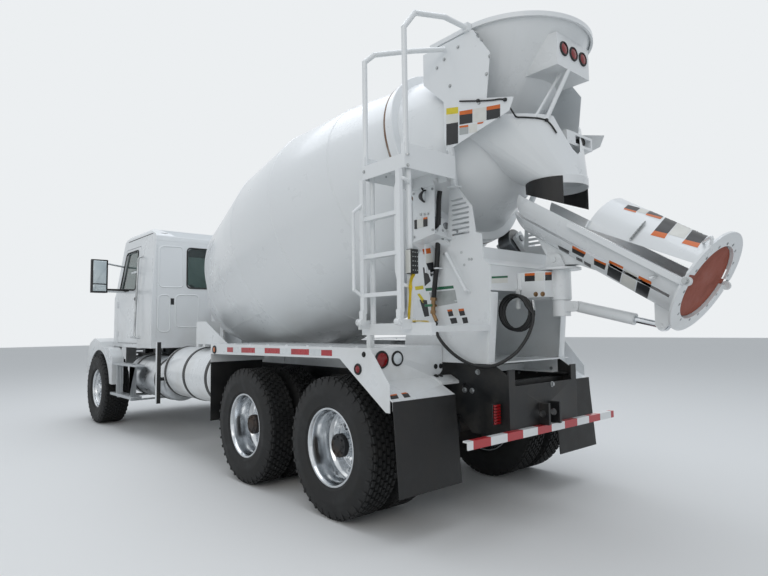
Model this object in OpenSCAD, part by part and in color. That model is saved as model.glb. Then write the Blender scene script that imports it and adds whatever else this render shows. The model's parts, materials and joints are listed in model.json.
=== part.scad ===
// Rear-discharge concrete mixer truck with a conventional cab and tandem drive axles.
// Millimetres, +X forward, +Y to the truck's left, +Z up, ground at z = 0.
// Every x below is measured ahead of the rearmost axle; truck() moves the origin under the middle.

/* [Chassis] */
// Distance from the rearmost axle to the model's origin
origin_ahead = 2330; // [2000:10:2800]
// Distance between the two drive axles
tandem_spacing = 1372; // [1300:1:1450]
// Front axle ahead of the rearmost axle
front_axle_x = 6245; // [6150:5:6350]
// Width across the outside of the frame rails
rail_outside = 864; // [850:1:880]
// Depth of a frame rail
rail_h = 260; // [230:1:280]
// Flange width of a frame rail
rail_flange = 80; // [70:1:90]
// Web and flange thickness of a frame rail
rail_wall = 10; // [8:1:12]
// Height of the frame rails' top
rail_top = 1050; // [1040:1:1060]
// Rear end of the frame rails
frame_rear = -1060; // [-1100:5:-1040]
// Front end of the frame rails
frame_front = 6900; // [6880:5:6920]
// Height of the mixer's own frame on top of the rails
subframe_h = 110; // [100:1:115]

/* [Wheels] */
// Outer radius of a drive tyre
rear_tyre_r = 532; // [520:1:540]
// Width of a drive tyre
rear_tyre_w = 279; // [270:1:285]
// Centre of the inner drive tyre from the truck's centreline
dual_inner_y = 751; // [748:1:760]
// Centre of the outer drive tyre from the truck's centreline
dual_outer_y = 1094; // [1090:1:1100]
// Outer radius of a steer tyre
front_tyre_r = 536; // [525:1:545]
// Width of a steer tyre
front_tyre_w = 389; // [370:1:392]
// Centre of a steer tyre from the truck's centreline
front_tyre_y = 1094; // [1085:1:1100]
// Bead seat radius of every rim
bead_r = 286; // [280:1:290]
// Steering pivot from the truck's centreline
kingpin_y = 850; // [840:1:852]
// Length of a steering arm
arm_len = 200; // [180:1:210]
// Radius of a brake drum
brake_r = 205; // [190:1:215]

/* [Cab] */
// Rear wall of the cab
cab_back_x = 4420; // [4400:5:4440]
// Half width of the cab
cab_half_w = 1050; // [1030:5:1060]
// Underside of the cab
cab_floor_z = 1190; // [1180:5:1200]
// Top of the cab's raised roof
cab_roof_z = 2920; // [2900:5:2940]
// Thickness of the cab's walls and doors
cab_wall = 50; // [40:1:55]
// Rear edge of the doors
door_rear_x = 4980; // [4960:5:5000]
// Front edge of the doors
door_front_x = 5960; // [5940:5:5980]
// Gap round a door
door_gap = 7; // [5:1:8]

/* [Drum] */
// Slope of the drum's axis
drum_slope = 15.6; // [15:0.1:16]
// Point of the drum's axis at its front end, ahead of the rearmost axle
drum_front_x = 4000; // [3990:5:4010]
// Height of that point
drum_front_z = 1732; // [1728:1:1745]
// Largest radius of the drum
drum_r = 1130; // [1115:1:1132]
// Thickness of the drum's shell
drum_wall = 10; // [8:1:12]
// Radius of the drum's mouth
mouth_r = 520; // [510:1:525]
// Distance from the front end to the mouth along the axis
drum_len = 5050; // [5030:5:5080]
// Outer radius of the track ring
ring_r = 800; // [795:1:805]
// Distance from the front end to the track ring's middle
ring_at = 4433; // [4420:1:4440]
// Width of the track ring
ring_w = 110; // [90:1:120]
// Radius of a drum roller
roller_r = 110; // [100:1:115]
// Angle of the rollers from straight below the drum
roller_angle = 33; // [31:1:35]

/* [Chute] */
// Swing post's axis, ahead of the rearmost axle (negative: behind it)
swing_x = -1270; // [-1280:5:-1260]
// Height of the main chute's rim line over the swing axis
chute_rim_z = 2300; // [2295:5:2310]
// Slope of the main chute at rest
chute_slope = 32; // [30:0.5:34]
// Inner radius of the chutes
chute_r = 250; // [240:1:255]
// Thickness of the chutes' sheet
chute_wall = 6; // [5:1:8]
// Length of the main chute ahead of the swing axis
chute_head = 345; // [330:5:350]
// Length of the main chute behind the swing axis
chute_tail = 1180; // [1160:5:1200]
// Length of the fold-over chute
fold_len = 760; // [740:5:780]
// Outer radius of the chutes' end flange
flange_r = 340; // [330:5:345]
// Height of the chute's lift pivot
lift_pivot_z = 1915; // [1912:1:1920]

/* [Hopper] */
// Height of the charge hopper's rim
hopper_rim_z = 3660; // [3640:5:3680]
// Half width of the charge hopper at its rim
hopper_half_w = 590; // [580:5:600]
// Centre of the hopper's round back
hopper_x = -920; // [-930:5:-910]
// Thickness of the hopper's sheet
hopper_wall = 6; // [5:1:8]

/* [Rear fenders] */
// Height of the fender deck
deck_z = 1290; // [1285:1:1300]
// Outer face of the fenders from the truck's centreline
fender_y = 1240; // [1235:1:1245]
// Front end of the fenders
fender_front = 2060; // [2050:5:2080]
// Thickness of the fenders' plate
fender_wall = 6; // [5:1:8]

/* [Tanks] */
// Radius of the water tank
water_r = 310; // [300:1:312]
// Radius of the fuel tank
fuel_r = 280; // [270:1:285]

/* [Hidden] */
$fn = 64;
white = "#eef0f0";
black = "#1c1e20";
steel = "#8b9094";
bright = "#cfd3d6";
rubber = "#232527";
glass = "#9fb4bd";
red = "#b3262a";
orange = "#c8502a";
// Clearance between pieces that seat on each other
seat_gap = 0.3;
// Clearance between pieces that move past each other
run_gap = 0.5;
rail_y = rail_outside / 2;
rail_bottom = rail_top - rail_h;
subframe_top = rail_top + subframe_h;

// Moves the truck's own frame, with x = 0 at the rearmost axle, to the model's origin
module truck() {
    translate([-origin_ahead, 0, 0]) children();
}

// Extrudes a side view outline (x, z) across the truck from y0 to y1
module across(y0, y1) {
    translate([0, y1, 0]) rotate([90, 0, 0]) linear_extrude(y1 - y0) children();
}

// Extrudes a front view outline (y, z) along the truck from x0 to x1
module along(x0, x1) {
    translate([x0, 0, 0]) rotate([90, 0, 90]) linear_extrude(x1 - x0) children();
}

// Box between two corners
module block(a, b) {
    translate(a) cube(b - a);
}

// The same piece on the left and on the right
module both_sides() {
    children();
    mirror([0, 1, 0]) children();
}

function unit(v) = v / norm(v);

// Arc that rounds the corner at b of the path a, b, c
function arc_at(a, b, c, r, n) =
    let (u = unit(a - b), v = unit(c - b), half = acos(u * v) / 2,
         m = b + unit(u + v) * r / sin(half), s = b + u * r / tan(half) - m,
         turn = (180 - 2 * half) * sign(u.y * v.x - u.x * v.y))
    [for (i = [0:n]) let (t = turn * i / n) m + [s.x * cos(t) - s.y * sin(t), s.x * sin(t) + s.y * cos(t)]];

// Outline whose corners [x, y, radius] are rounded by n steps each
function rounded(p, n = 4) = [
    for (i = [0:len(p) - 1])
        let (a = p[(i + len(p) - 1) % len(p)], b = p[i], c = p[(i + 1) % len(p)])
        each b[2] > 0 ? arc_at([a.x, a.y], [b.x, b.y], [c.x, c.y], b[2], n) : [[b.x, b.y]]
];

// Bar of round section along a path of points, with ball joints at its bends
module pipe(path, r) {
    for (i = [0:len(path) - 2]) {
        a = path[i];
        b = path[i + 1];
        v = b - a;
        translate(a) rotate([0, acos(v.z / norm(v)), atan2(v.y, v.x)]) cylinder(h = norm(v), r = r, $fn = 24);
    }
    for (i = [1:1:len(path) - 2]) translate(path[i]) sphere(r = r + 1, $fn = 24);
}

// Puts a wheel's own frame, z outwards from the centre plane, on an axle and a side
module wheel_at(x, z, side) {
    truck() translate([x, 0, z]) mirror([0, side < 0 ? 1 : 0, 0]) rotate([-90, 0, 0]) children();
}

// Tyre ring centred at c on its axis
module tyre_ring(c, r, w) {
    half = w / 2;
    bead_half = half * 0.7;
    translate([0, 0, c]) rotate_extrude($fn = 96) polygon(rounded([
        [bead_r, -bead_half, 0], [bead_r, bead_half, 0], [bead_r + 14, bead_half, 0],
        [bead_r + 18, half * 0.88, 6], [(bead_r + r) / 2, half, 60], [r - 30, half * 0.94, 30],
        [r, half * 0.84, 14], [r, -half * 0.84, 14], [r - 30, -half * 0.94, 30],
        [(bead_r + r) / 2, -half, 60], [bead_r + 18, -half * 0.88, 6], [bead_r + 14, -bead_half, 0]
    ], 3));
}

// Height of a rim's edge over its barrel
rim_edge = 12;
rim_t = 18;
hub_bore = 110;
spindle_r = 60;
dual_mid = (dual_inner_y + dual_outer_y) / 2;
hand_hole_r = 28;
hand_hole_at = 178;

// Half of a twin rim, from its outer edge to the plane where the two discs meet
module twin_rim_half(w, offset) {
    seat = w * 0.35;
    edge = seat + 18;
    rotate_extrude($fn = 96) polygon([
        [bead_r + rim_edge, edge], [bead_r + rim_edge, seat + 3], [bead_r - seat_gap, seat + 3],
        [bead_r - seat_gap, -seat - 3], [bead_r + rim_edge, -seat - 3], [bead_r + rim_edge, -edge],
        [bead_r - 24, -edge], [236, -offset + 6], [230, -offset], [hub_bore - 5, -offset],
        [hub_bore - 5, -offset + 20], [222, -offset + 20], [bead_r - rim_t - 22, -edge + 20],
        [bead_r - rim_t, -edge + 44], [bead_r - rim_t, seat - 12], [bead_r - 4, edge]
    ]);
}

module twin_rims() {
    difference() {
        union() {
            translate([0, 0, dual_outer_y]) twin_rim_half(rear_tyre_w, dual_outer_y - dual_mid);
            translate([0, 0, dual_inner_y]) mirror([0, 0, 1]) twin_rim_half(rear_tyre_w, dual_mid - dual_inner_y);
            rotate_extrude($fn = 64) polygon([
                [spindle_r + run_gap, 600], [brake_r, 600], [brake_r, 820], [hub_bore, 860],
                [hub_bore, dual_mid + 60], [95, dual_mid + 72], [88, dual_outer_y + 20], [60, dual_outer_y + 34],
                [0, dual_outer_y + 34], [0, dual_outer_y], [spindle_r + run_gap, dual_outer_y]
            ]);
        }
        for (a = [0:36:359]) rotate([0, 0, a]) translate([hand_hole_at, 0, dual_mid - 60])
            cylinder(h = 120, r = hand_hole_r, $fn = 24);
    }
}

module front_rim() {
    half = front_tyre_w * 0.35;
    edge = half + 18;
    disc = 70;
    difference() {
        union() {
            translate([0, 0, front_tyre_y]) rotate_extrude($fn = 96) polygon([
                [bead_r + rim_edge, edge], [bead_r + rim_edge, half + 3], [bead_r - seat_gap, half + 3],
                [bead_r - seat_gap, -half - 3], [bead_r + rim_edge, -half - 3], [bead_r + rim_edge, -edge],
                [bead_r - rim_t + 4, -edge], [bead_r - rim_t, -half + 10], [bead_r - rim_t, disc - 24],
                [bead_r - 40, disc - 4], [hub_bore - 5, disc - 4], [hub_bore - 5, disc + 18],
                [bead_r - 36, disc + 18], [bead_r - rim_t, disc + 44], [bead_r - rim_t, half], [bead_r - 4, edge]
            ]);
            rotate_extrude($fn = 64) polygon([
                [knuckle_spindle_r + run_gap, 955], [brake_r, 955], [brake_r, 1100], [hub_bore, 1130],
                [hub_bore, front_tyre_y + disc + 24], [82, front_tyre_y + disc + 40],
                [74, front_tyre_y + 138], [0, front_tyre_y + 138], [0, front_tyre_y + 110],
                [knuckle_spindle_r + run_gap, front_tyre_y + 110]
            ]);
        }
        for (a = [0:36:359]) rotate([0, 0, a]) translate([hand_hole_at, 0, front_tyre_y + disc - 30])
            cylinder(h = 60, r = hand_hole_r, $fn = 24);
    }
}

module tyre_front_left() {
    color(rubber) wheel_at(front_axle_x, front_tyre_r, 1) tyre_ring(front_tyre_y, front_tyre_r, front_tyre_w);
}
module tyre_front_right() {
    color(rubber) wheel_at(front_axle_x, front_tyre_r, -1) tyre_ring(front_tyre_y, front_tyre_r, front_tyre_w);
}
module rim_front_left() {
    color(bright) wheel_at(front_axle_x, front_tyre_r, 1) front_rim();
}
module rim_front_right() {
    color(bright) wheel_at(front_axle_x, front_tyre_r, -1) front_rim();
}
module twin_tyres(x, side) {
    color(rubber) wheel_at(x, rear_tyre_r, side) {
        tyre_ring(dual_inner_y, rear_tyre_r, rear_tyre_w);
        tyre_ring(dual_outer_y, rear_tyre_r, rear_tyre_w);
    }
}
module tyres_fore_left() { twin_tyres(tandem_spacing, 1); }
module tyres_fore_right() { twin_tyres(tandem_spacing, -1); }
module tyres_aft_left() { twin_tyres(0, 1); }
module tyres_aft_right() { twin_tyres(0, -1); }
module rims_fore_left() { color(bright) wheel_at(tandem_spacing, rear_tyre_r, 1) twin_rims(); }
module rims_fore_right() { color(bright) wheel_at(tandem_spacing, rear_tyre_r, -1) twin_rims(); }
module rims_aft_left() { color(bright) wheel_at(0, rear_tyre_r, 1) twin_rims(); }
module rims_aft_right() { color(bright) wheel_at(0, rear_tyre_r, -1) twin_rims(); }

// Steering gear: boss at the axle's end, yoke and spindle, arms and tie rod
boss_r = 50;
boss_h = 130;
kingpin_r = 24;
yoke_t = 34;
knuckle_spindle_r = 45;
arm_pin_r = 12;
tie_r = 18;
boss_z = front_tyre_r;
lower_ear_z = boss_z - boss_h / 2 - 3 - yoke_t;

module front_axle() {
    color(black) truck() translate([front_axle_x, 0, 0]) difference() {
        union() {
            along(-45, 45) polygon(rounded([
                [-kingpin_y, boss_z - 45, 0], [-560, boss_z - 60, 80], [-480, boss_z - 170, 60],
                [480, boss_z - 170, 60], [560, boss_z - 60, 80], [kingpin_y, boss_z - 45, 0],
                [kingpin_y, boss_z + 45, 0], [540, boss_z + 30, 80], [440, boss_z - 60, 60],
                [-440, boss_z - 60, 60], [-540, boss_z + 30, 80], [-kingpin_y, boss_z + 45, 0]
            ]));
            both_sides() translate([0, kingpin_y, boss_z - boss_h / 2]) cylinder(h = boss_h, r = boss_r);
        }
        both_sides() translate([0, kingpin_y, boss_z - boss_h]) cylinder(h = 2 * boss_h, r = kingpin_r + run_gap);
        both_sides() block([-60, kingpin_y + 30, 0], [60, kingpin_y + 120, boss_z - boss_h / 2]);
    }
}

// Knuckle on the left side: ears over and under the boss, pin, web, spindle and steering arm
module knuckle() {
    web_y = kingpin_y + boss_r + 4;
    truck() translate([front_axle_x, 0, 0]) {
        for (z = [lower_ear_z, boss_z + boss_h / 2 + 3]) {
            translate([0, kingpin_y, z]) cylinder(h = yoke_t, r = boss_r);
            block([-boss_r, kingpin_y, z], [boss_r, web_y + 30, z + yoke_t]);
        }
        translate([0, kingpin_y, lower_ear_z + 1]) cylinder(h = boss_h + 2 * yoke_t, r = kingpin_r);
        block([-boss_r, web_y, lower_ear_z], [boss_r, web_y + 30, boss_z + boss_h / 2 + 3 + yoke_t]);
        translate([0, web_y + 20, boss_z]) rotate([-90, 0, 0])
            cylinder(h = front_tyre_y + 100 - web_y - 20, r = knuckle_spindle_r);
        block([-arm_len, kingpin_y - 25, lower_ear_z], [0, kingpin_y + 25, lower_ear_z + yoke_t]);
        translate([-arm_len, kingpin_y, lower_ear_z]) cylinder(h = yoke_t, r = 28);
        translate([-arm_len, kingpin_y, lower_ear_z - 42]) cylinder(h = 60, r = arm_pin_r);
    }
}
module knuckle_left() { color(black) knuckle(); }
module knuckle_right() { color(black) mirror([0, 1, 0]) knuckle(); }

module tie_rod() {
    z = lower_ear_z - 22;
    color(black) truck() translate([front_axle_x - arm_len, 0, 0]) difference() {
        union() {
            translate([0, -kingpin_y, z]) rotate([-90, 0, 0]) cylinder(h = 2 * kingpin_y, r = tie_r);
            both_sides() translate([0, kingpin_y, z - 20]) cylinder(h = 36, r = 30);
        }
        both_sides() translate([0, kingpin_y, z - 40]) cylinder(h = 80, r = arm_pin_r + run_gap);
    }
}

// Positions of the frame's crossmembers, clear of the engine and the gearbox
cross_xs = [frame_rear + 90, tandem_spacing / 2, 2250, 3650, 4600, frame_front - 60];

module frame() {
    color(black) truck() {
        both_sides() along(frame_rear, frame_front) polygon([
            [rail_y, rail_bottom], [rail_y, rail_top], [rail_y - rail_flange, rail_top],
            [rail_y - rail_flange, rail_top - rail_wall], [rail_y - rail_wall, rail_top - rail_wall],
            [rail_y - rail_wall, rail_bottom + rail_wall], [rail_y - rail_flange, rail_bottom + rail_wall],
            [rail_y - rail_flange, rail_bottom]
        ]);
        for (x = cross_xs) translate([x, 0, 0]) {
            block([-40, -rail_y + rail_wall, rail_top - 120], [40, rail_y - rail_wall, rail_top - 30]);
            both_sides() block([-90, rail_y - rail_wall - 8, rail_bottom + 30],
                               [90, rail_y - rail_wall, rail_top - 25]);
        }
    }
}

// Black plates that deepen the frame's tail, with the crossplate that carries the tow pin and the bar
tail_x = frame_rear - 30;
tow_pin_r = 26;
module rear_frame() {
    color(black) truck() difference() {
        union() {
            both_sides() across(rail_y, rail_y + 14) polygon([
                [tail_x, 640], [-760, 640], [-640, 760], [-420, 800], [-420, rail_top - 10],
                [-470, subframe_top - seat_gap], [-960, subframe_top - seat_gap], [tail_x, 1080]
            ]);
            block([tail_x - 16, -rail_y - 14, 640], [tail_x, rail_y + 14, 1000]);
            both_sides() block([tail_x - 96, 60, 700], [tail_x - 15, 84, 860]);
            both_sides() block([tail_x - 16, rail_y - 60, 1000], [tail_x, rail_y + 14, 1120]);
        }
        translate([tail_x - 44, -100, 780]) rotate([-90, 0, 0]) cylinder(h = 200, r = tow_pin_r);
        both_sides() translate([-700, rail_y - 1, 980]) rotate([-90, 0, 0]) cylinder(h = 20, r = 22);
    }
}

bar_half = 950;
bar_z = 670;
module rear_bar() {
    color(red) truck() {
        block([tail_x - 62, -bar_half, bar_z - 28], [tail_x - 50, bar_half, bar_z + 28]);
        block([tail_x - 50, -bar_half, bar_z + 16], [tail_x - 16, bar_half, bar_z + 28]);
        both_sides() block([tail_x - 50, 300, bar_z - 28], [tail_x - 16, 420, bar_z + 28]);
    }
}

// Leaf springs in front, equalising beams behind
spring_y = rail_y - 40;
spring_half = 750;
module suspension() {
    steps = 10;
    seat_z = boss_z - 20;
    function leaf_z(t) = seat_z + 22 + 130 * t * t;
    color(black) truck() {
        translate([front_axle_x, 0, 0]) both_sides() {
            across(spring_y - 38, spring_y + 38) polygon(concat(
                [for (i = [-steps:steps]) [spring_half * i / steps, leaf_z(i / steps)]],
                [for (i = [steps:-1:-steps]) [spring_half * i / steps, leaf_z(i / steps) + 70 - 40 * abs(i / steps)]]
            ));
            block([-90, spring_y - 60, boss_z - 60 + seat_gap], [90, spring_y + 24, seat_z + 40]);
            block([-spring_half - 60, spring_y - 45, leaf_z(1) + 10],
                  [-spring_half + 40, spring_y + 40, rail_bottom - seat_gap]);
            block([spring_half - 10, spring_y - 45, leaf_z(1) - 70],
                  [spring_half + 70, spring_y + 40 - seat_gap, leaf_z(1) + 45]);
        }
        translate([tandem_spacing / 2, 0, 0]) both_sides() {
            across(rail_y + 50, rail_y + 130) polygon(rounded([
                [-tandem_spacing / 2 - 90, rear_tyre_r - 190, 30], [-90, rear_tyre_r - 230, 60],
                [90, rear_tyre_r - 230, 60], [tandem_spacing / 2 + 90, rear_tyre_r - 190, 30],
                [tandem_spacing / 2 + 90, rear_tyre_r - 75, 30], [140, rear_tyre_r - 110, 60],
                [-140, rear_tyre_r - 110, 60], [-tandem_spacing / 2 - 90, rear_tyre_r - 75, 30]
            ]));
            across(rail_y, rail_y + 50) polygon([
                [-110, rear_tyre_r - 190], [110, rear_tyre_r - 190], [300, rail_top - 60], [-300, rail_top - 60]
            ]);
            across(spring_y - 45, rail_y) polygon([
                [-330, rail_bottom - 60], [330, rail_bottom - 60], [200, rail_bottom], [-200, rail_bottom]
            ]);
        }
    }
}

// Propeller shaft from the gearbox to the fore drive axle
shaft_front_z = 860;
bowl_r = 190;
nose = 330;
module drive_axles() {
    color(black) truck() {
        for (x = [0, tandem_spacing]) translate([x, 0, rear_tyre_r]) {
            translate([0, -590, 0]) rotate([-90, 0, 0]) cylinder(h = 1180, r = 74);
            both_sides() translate([0, 590 - 1, 0]) rotate([-90, 0, 0]) cylinder(h = dual_outer_y - 596, r = spindle_r);
            both_sides() translate([0, 575, 0]) rotate([-90, 0, 0]) cylinder(h = 15, r = brake_r - 10);
            sphere(r = bowl_r);
            rotate([0, 90, 0]) cylinder(h = nose, r = 85);
        }
        pipe([[tandem_spacing + nose, 0, rear_tyre_r], [4690, 0, shaft_front_z]], 52);
        pipe([[nose, 0, rear_tyre_r], [tandem_spacing - bowl_r + 20, 0, rear_tyre_r]], 50);
    }
}

engine_rear = 5650;
engine_front = 6450;
module engine() {
    color(steel) truck() {
        block([engine_rear, -330, 800], [engine_front, 330, 1560]);
        both_sides() block([engine_rear + 80, 329, rail_top], [engine_rear + 200, rail_y, rail_top + 40]);
        block([4700, -230, 800], [engine_rear + 1, 230, 1130]);
        block([engine_front + 120, -420, rail_top], [engine_front + 220, 420, 1640]);
    }
}

// Front bumper on two arms that also carry the hood's hinge pin
bumper_top = 680;
bumper_front = 7110;
hood_pin_x = 6945;
hood_pin_z = 800;
hood_pin_r = 15;
module front_bumper() {
    color(bright) truck() {
        difference() {
            union() {
                translate([0, 0, 400]) linear_extrude(bumper_top - 400) polygon(rounded([
                    [bumper_front, -880, 60], [bumper_front, 880, 60], [bumper_front - 170, 1160, 0],
                    [bumper_front - 182, 1150, 0], [bumper_front - 24, 872, 40],
                    [bumper_front - 24, -872, 40], [bumper_front - 182, -1150, 0], [bumper_front - 170, -1160, 0]
                ]));
                both_sides() across(rail_y, rail_y + 16) polygon([
                    [6700, 480], [bumper_front - 20, 480], [bumper_front - 20, bumper_top + 10],
                    [hood_pin_x + 40, bumper_top + 10], [hood_pin_x + 20, hood_pin_z + 50],
                    [hood_pin_x - 45, rail_top - 60], [6700, rail_top - 60]
                ]);
            }
        }
        translate([hood_pin_x, -rail_y - 1, hood_pin_z]) rotate([-90, 0, 0])
            cylinder(h = 2 * rail_y + 2, r = hood_pin_r);
    }
}

// Cab: one closed form cut into its panels, each a slice of the shell between two insets
belt_z = 2000;
cab_split_z = 2700;
cowl_x = 6140;
function cab_side(d) = rounded([
    [cab_back_x + d, cab_floor_z + d, 0], [cab_back_x + d, cab_roof_z - 130 - d, 60],
    [cab_back_x + 380, cab_roof_z - d, 150], [5620, cab_roof_z - d, 300], [5800 - d, cab_roof_z - 90 - d, 80],
    [6080 - d, belt_z + 10, 60], [cowl_x - d, belt_z - 50, 30], [cowl_x - d, cab_floor_z + d, 0]
]);
function cab_front(d) = rounded([
    [-cab_half_w + d, cab_floor_z - 10, 0], [-cab_half_w + d, belt_z, 400],
    [-cab_half_w + 62 + d, cab_roof_z - d, 110], [cab_half_w - 62 - d, cab_roof_z - d, 110],
    [cab_half_w - d, belt_z, 400], [cab_half_w - d, cab_floor_z - 10, 0]
]);
module cab_solid(d) {
    intersection() {
        across(-cab_half_w - 10, cab_half_w + 10) polygon(cab_side(d));
        along(cab_back_x - 10, cowl_x + 10) polygon(cab_front(d));
    }
}
tunnel_half = 380;
tunnel_top = 1580;
tunnel_back = 5600;
module cab_shell() {
    difference() {
        cab_solid(0);
        intersection() {
            cab_solid(cab_wall);
            across(-cab_half_w, cab_half_w) polygon([
                [cab_back_x, cab_floor_z], [cab_back_x, cab_split_z], [cab_back_x + 480, cab_split_z],
                [cab_back_x + 700, cab_roof_z], [cowl_x, cab_roof_z], [cowl_x, cab_floor_z]
            ]);
        }
        block([tunnel_back, -tunnel_half, cab_floor_z - 20], [cowl_x + 20, tunnel_half, tunnel_top]);
    }
}
// Outline of a door, drawn in by g on every side
function door_line(g) = rounded([
    [door_rear_x + g, cab_floor_z + 60 + g, 60], [door_rear_x + g, cab_split_z - 12 - g, 90],
    [door_front_x - 255 - g, cab_split_z - 12 - g, 70], [door_front_x - g, belt_z + 20, 60],
    [door_front_x - g, cab_floor_z + 60 + g, 60]
]);
window_line = rounded([
    [door_rear_x + 150, belt_z + 55, 50], [door_rear_x + 150, cab_split_z - 75, 60],
    [door_front_x - 310, cab_split_z - 75, 50], [door_front_x - 105, belt_z + 110, 40],
    [door_front_x - 105, belt_z + 55, 40]
]);
screen_line = rounded([
    [120 - cab_half_w, belt_z + 90, 60], [160 - cab_half_w, cab_split_z - 22, 60],
    [cab_half_w - 160, cab_split_z - 22, 60], [cab_half_w - 120, belt_z + 90, 60]
]);
rear_window_line = rounded([[-545, 2052, 60], [-545, 2612, 60], [545, 2612, 60], [545, 2052, 60]]);
inner_z = cab_floor_z + cab_wall;
side_x = cab_back_x + cab_wall;

module cab_floor() {
    color(white) truck() {
        intersection() {
            cab_shell();
            block([4000, -1200, 1000], [6500, 1200, inner_z]);
        }
        both_sides() for (x = [4560, 5900]) block([x, rail_y - rail_flange, rail_top], [x + 130, rail_y, cab_floor_z]);
    }
}
module cab_back() {
    color(white) truck() difference() {
        intersection() {
            cab_shell();
            block([4000, -1200, inner_z], [side_x, 1200, cab_split_z]);
        }
        along(4000, side_x + 10) polygon(rear_window_line);
    }
}
module cab_roof() {
    color(white) truck() difference() {
        intersection() {
            cab_shell();
            block([4000, -1200, cab_split_z], [6500, 1200, 3200]);
        }
        along(cab_back_x - 10, cab_back_x + 420) polygon(rounded([
            [-860, cab_roof_z + 20, 0], [-740, cab_split_z + 70, 40], [740, cab_split_z + 70, 40],
            [860, cab_roof_z + 20, 0]
        ]));
    }
}
module cab_sides() {
    color(white) truck() difference() {
        intersection() {
            cab_shell();
            block([side_x, -1200, inner_z], [6500, 1200, cab_split_z]);
        }
        both_sides() across(600, 1200) polygon(door_line(0));
        along(5500, 6500) polygon(screen_line);
    }
}
module cab_glass() {
    color(glass, 0.4) truck() difference() {
        cab_solid(20);
        cab_solid(26);
        difference() {
            block([4000, -1200, 1000], [6500, 1200, 3200]);
            along(5500, 6500) polygon(screen_line);
            along(4000, side_x + 10) polygon(rear_window_line);
        }
    }
}
// Door on the left side with its mirror on two arms
mirror_y = 1500;
module door() {
    truck() {
        difference() {
            intersection() {
                cab_shell();
                across(600, 1200) polygon(door_line(door_gap));
            }
            across(600, 1200) polygon(window_line);
        }
        translate([5330, mirror_y - 115, 1995]) linear_extrude(480) polygon(rounded([
            [-60, 0, 20], [40, 10, 40], [60, 115, 50], [40, 220, 40], [-60, 230, 20]
        ]));
        for (z = [1350, 1800]) {
            translate([door_front_x - 3, cab_half_w + 9, z]) cylinder(h = 90, r = 7.5);
            block([door_front_x - 50, cab_half_w - 5, z + 1], [door_front_x - 6, cab_half_w + 10, z + 89]);
        }
        pipe([[5350, mirror_y - 20, 2020], [5640, cab_half_w - 20, 2035]], 14);
        pipe([[5350, mirror_y - 20, 2445], [5780, cab_half_w - 45, 2435]], 14);
        pipe([[5075, cab_half_w - 10, 1330], [5075, cab_half_w + 60, 1350],
              [5075, cab_half_w + 60, 2280], [5075, cab_half_w - 50, 2320]], 14);
    }
}
module door_glass() {
    truck() intersection() {
        difference() {
            cab_solid(20);
            cab_solid(26);
        }
        across(600, 1200) polygon(window_line);
    }
}
module door_left() { color(white) door(); }
module door_right() { color(white) mirror([0, 1, 0]) door(); }
module door_glass_left() { color(glass, 0.4) door_glass(); }
module door_glass_right() { color(glass, 0.4) mirror([0, 1, 0]) door_glass(); }

seat_x = 4900;
module seats() {
    color(black) truck() both_sides() {
        block([seat_x - 60, 360, inner_z + seat_gap], [seat_x + 300, 760, inner_z + 200]);
        across(300, 820) polygon(rounded([
            [seat_x - 120, inner_z + 180, 40], [seat_x - 260, inner_z + 900, 60], [seat_x - 130, inner_z + 930, 60],
            [seat_x + 20, inner_z + 340, 60], [seat_x + 400, inner_z + 370, 60], [seat_x + 420, inner_z + 200, 50]
        ]));
    }
}
wheel_hub = [5560, 560, 2010];
module dash() {
    tilt = 35;
    color(black) truck() {
        across(-cab_half_w + cab_wall + 12, cab_half_w - cab_wall - 12) polygon(rounded([
            [5760, 1700, 60], [5760, 1930, 80], [5950, 1990, 60], [cowl_x - cab_wall - 60, 1960, 0],
            [cowl_x - cab_wall, 1900, 0], [cowl_x - cab_wall, 1640, 0], [5900, 1600, 60]
        ]));
        difference() {
            block([tunnel_back - 40, -tunnel_half - 30, inner_z], [cowl_x - cab_wall, tunnel_half + 30, tunnel_top + 30]);
            block([tunnel_back, -tunnel_half, inner_z - 1], [cowl_x, tunnel_half, tunnel_top]);
        }
        translate(wheel_hub) rotate([0, -tilt, 0]) {
            rotate_extrude($fn = 64) translate([215, 0]) circle(r = 16, $fn = 16);
            for (a = [0, 120, 240]) rotate([0, 90, a]) cylinder(h = 212, r = 10, $fn = 16);
            cylinder(h = 30, r = 50, center = true);
            translate([0, 0, -320]) cylinder(h = 310, r = 26);
        }
    }
}

// Hood with its fenders in one tilting piece, hinged behind the bumper
cab_gap = 8;
hood_rear = cowl_x + cab_gap;
hood_skin = 10;
hood_half = 900;
arch_r = 605;
fender_in = 720;
function hood_side(d) = rounded([
    [hood_rear, cab_floor_z, 0], [hood_rear, 1955 - d, 0], [6860 - d, 1800 - d, 160], [7020 - d, 1560, 120],
    [7040 - d, 860, 0], [6930, 860, 0], [6930, cab_floor_z, 0]
]);
function hood_plan(d) = rounded([
    [hood_rear - 1, -hood_half + d, 0], [hood_rear - 1, hood_half - d, 0], [6800, 760 - d, 200],
    [7050 - d, 560 - d, 120], [7050 - d, -560 + d, 120], [6800, -760 + d, 200]
]);
function wing_line(d) = rounded([
    [5530 + d, 640 - d, 0], [5530 + d, 1060 - d, 80], [5720, 1180 - d, 150], [hood_rear, cab_floor_z - d, 0],
    [6200, 1270 - d, 0], [6500, 1330 - d, 250], [6800, 1240 - d, 200], [6960 - d, 1000, 120], [6960 - d, 745 - d, 0]
]);
module hood_form(d) {
    intersection() {
        across(-hood_half, hood_half) polygon(hood_side(d));
        translate([0, 0, 800]) linear_extrude(1300) polygon(hood_plan(d));
    }
}
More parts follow.
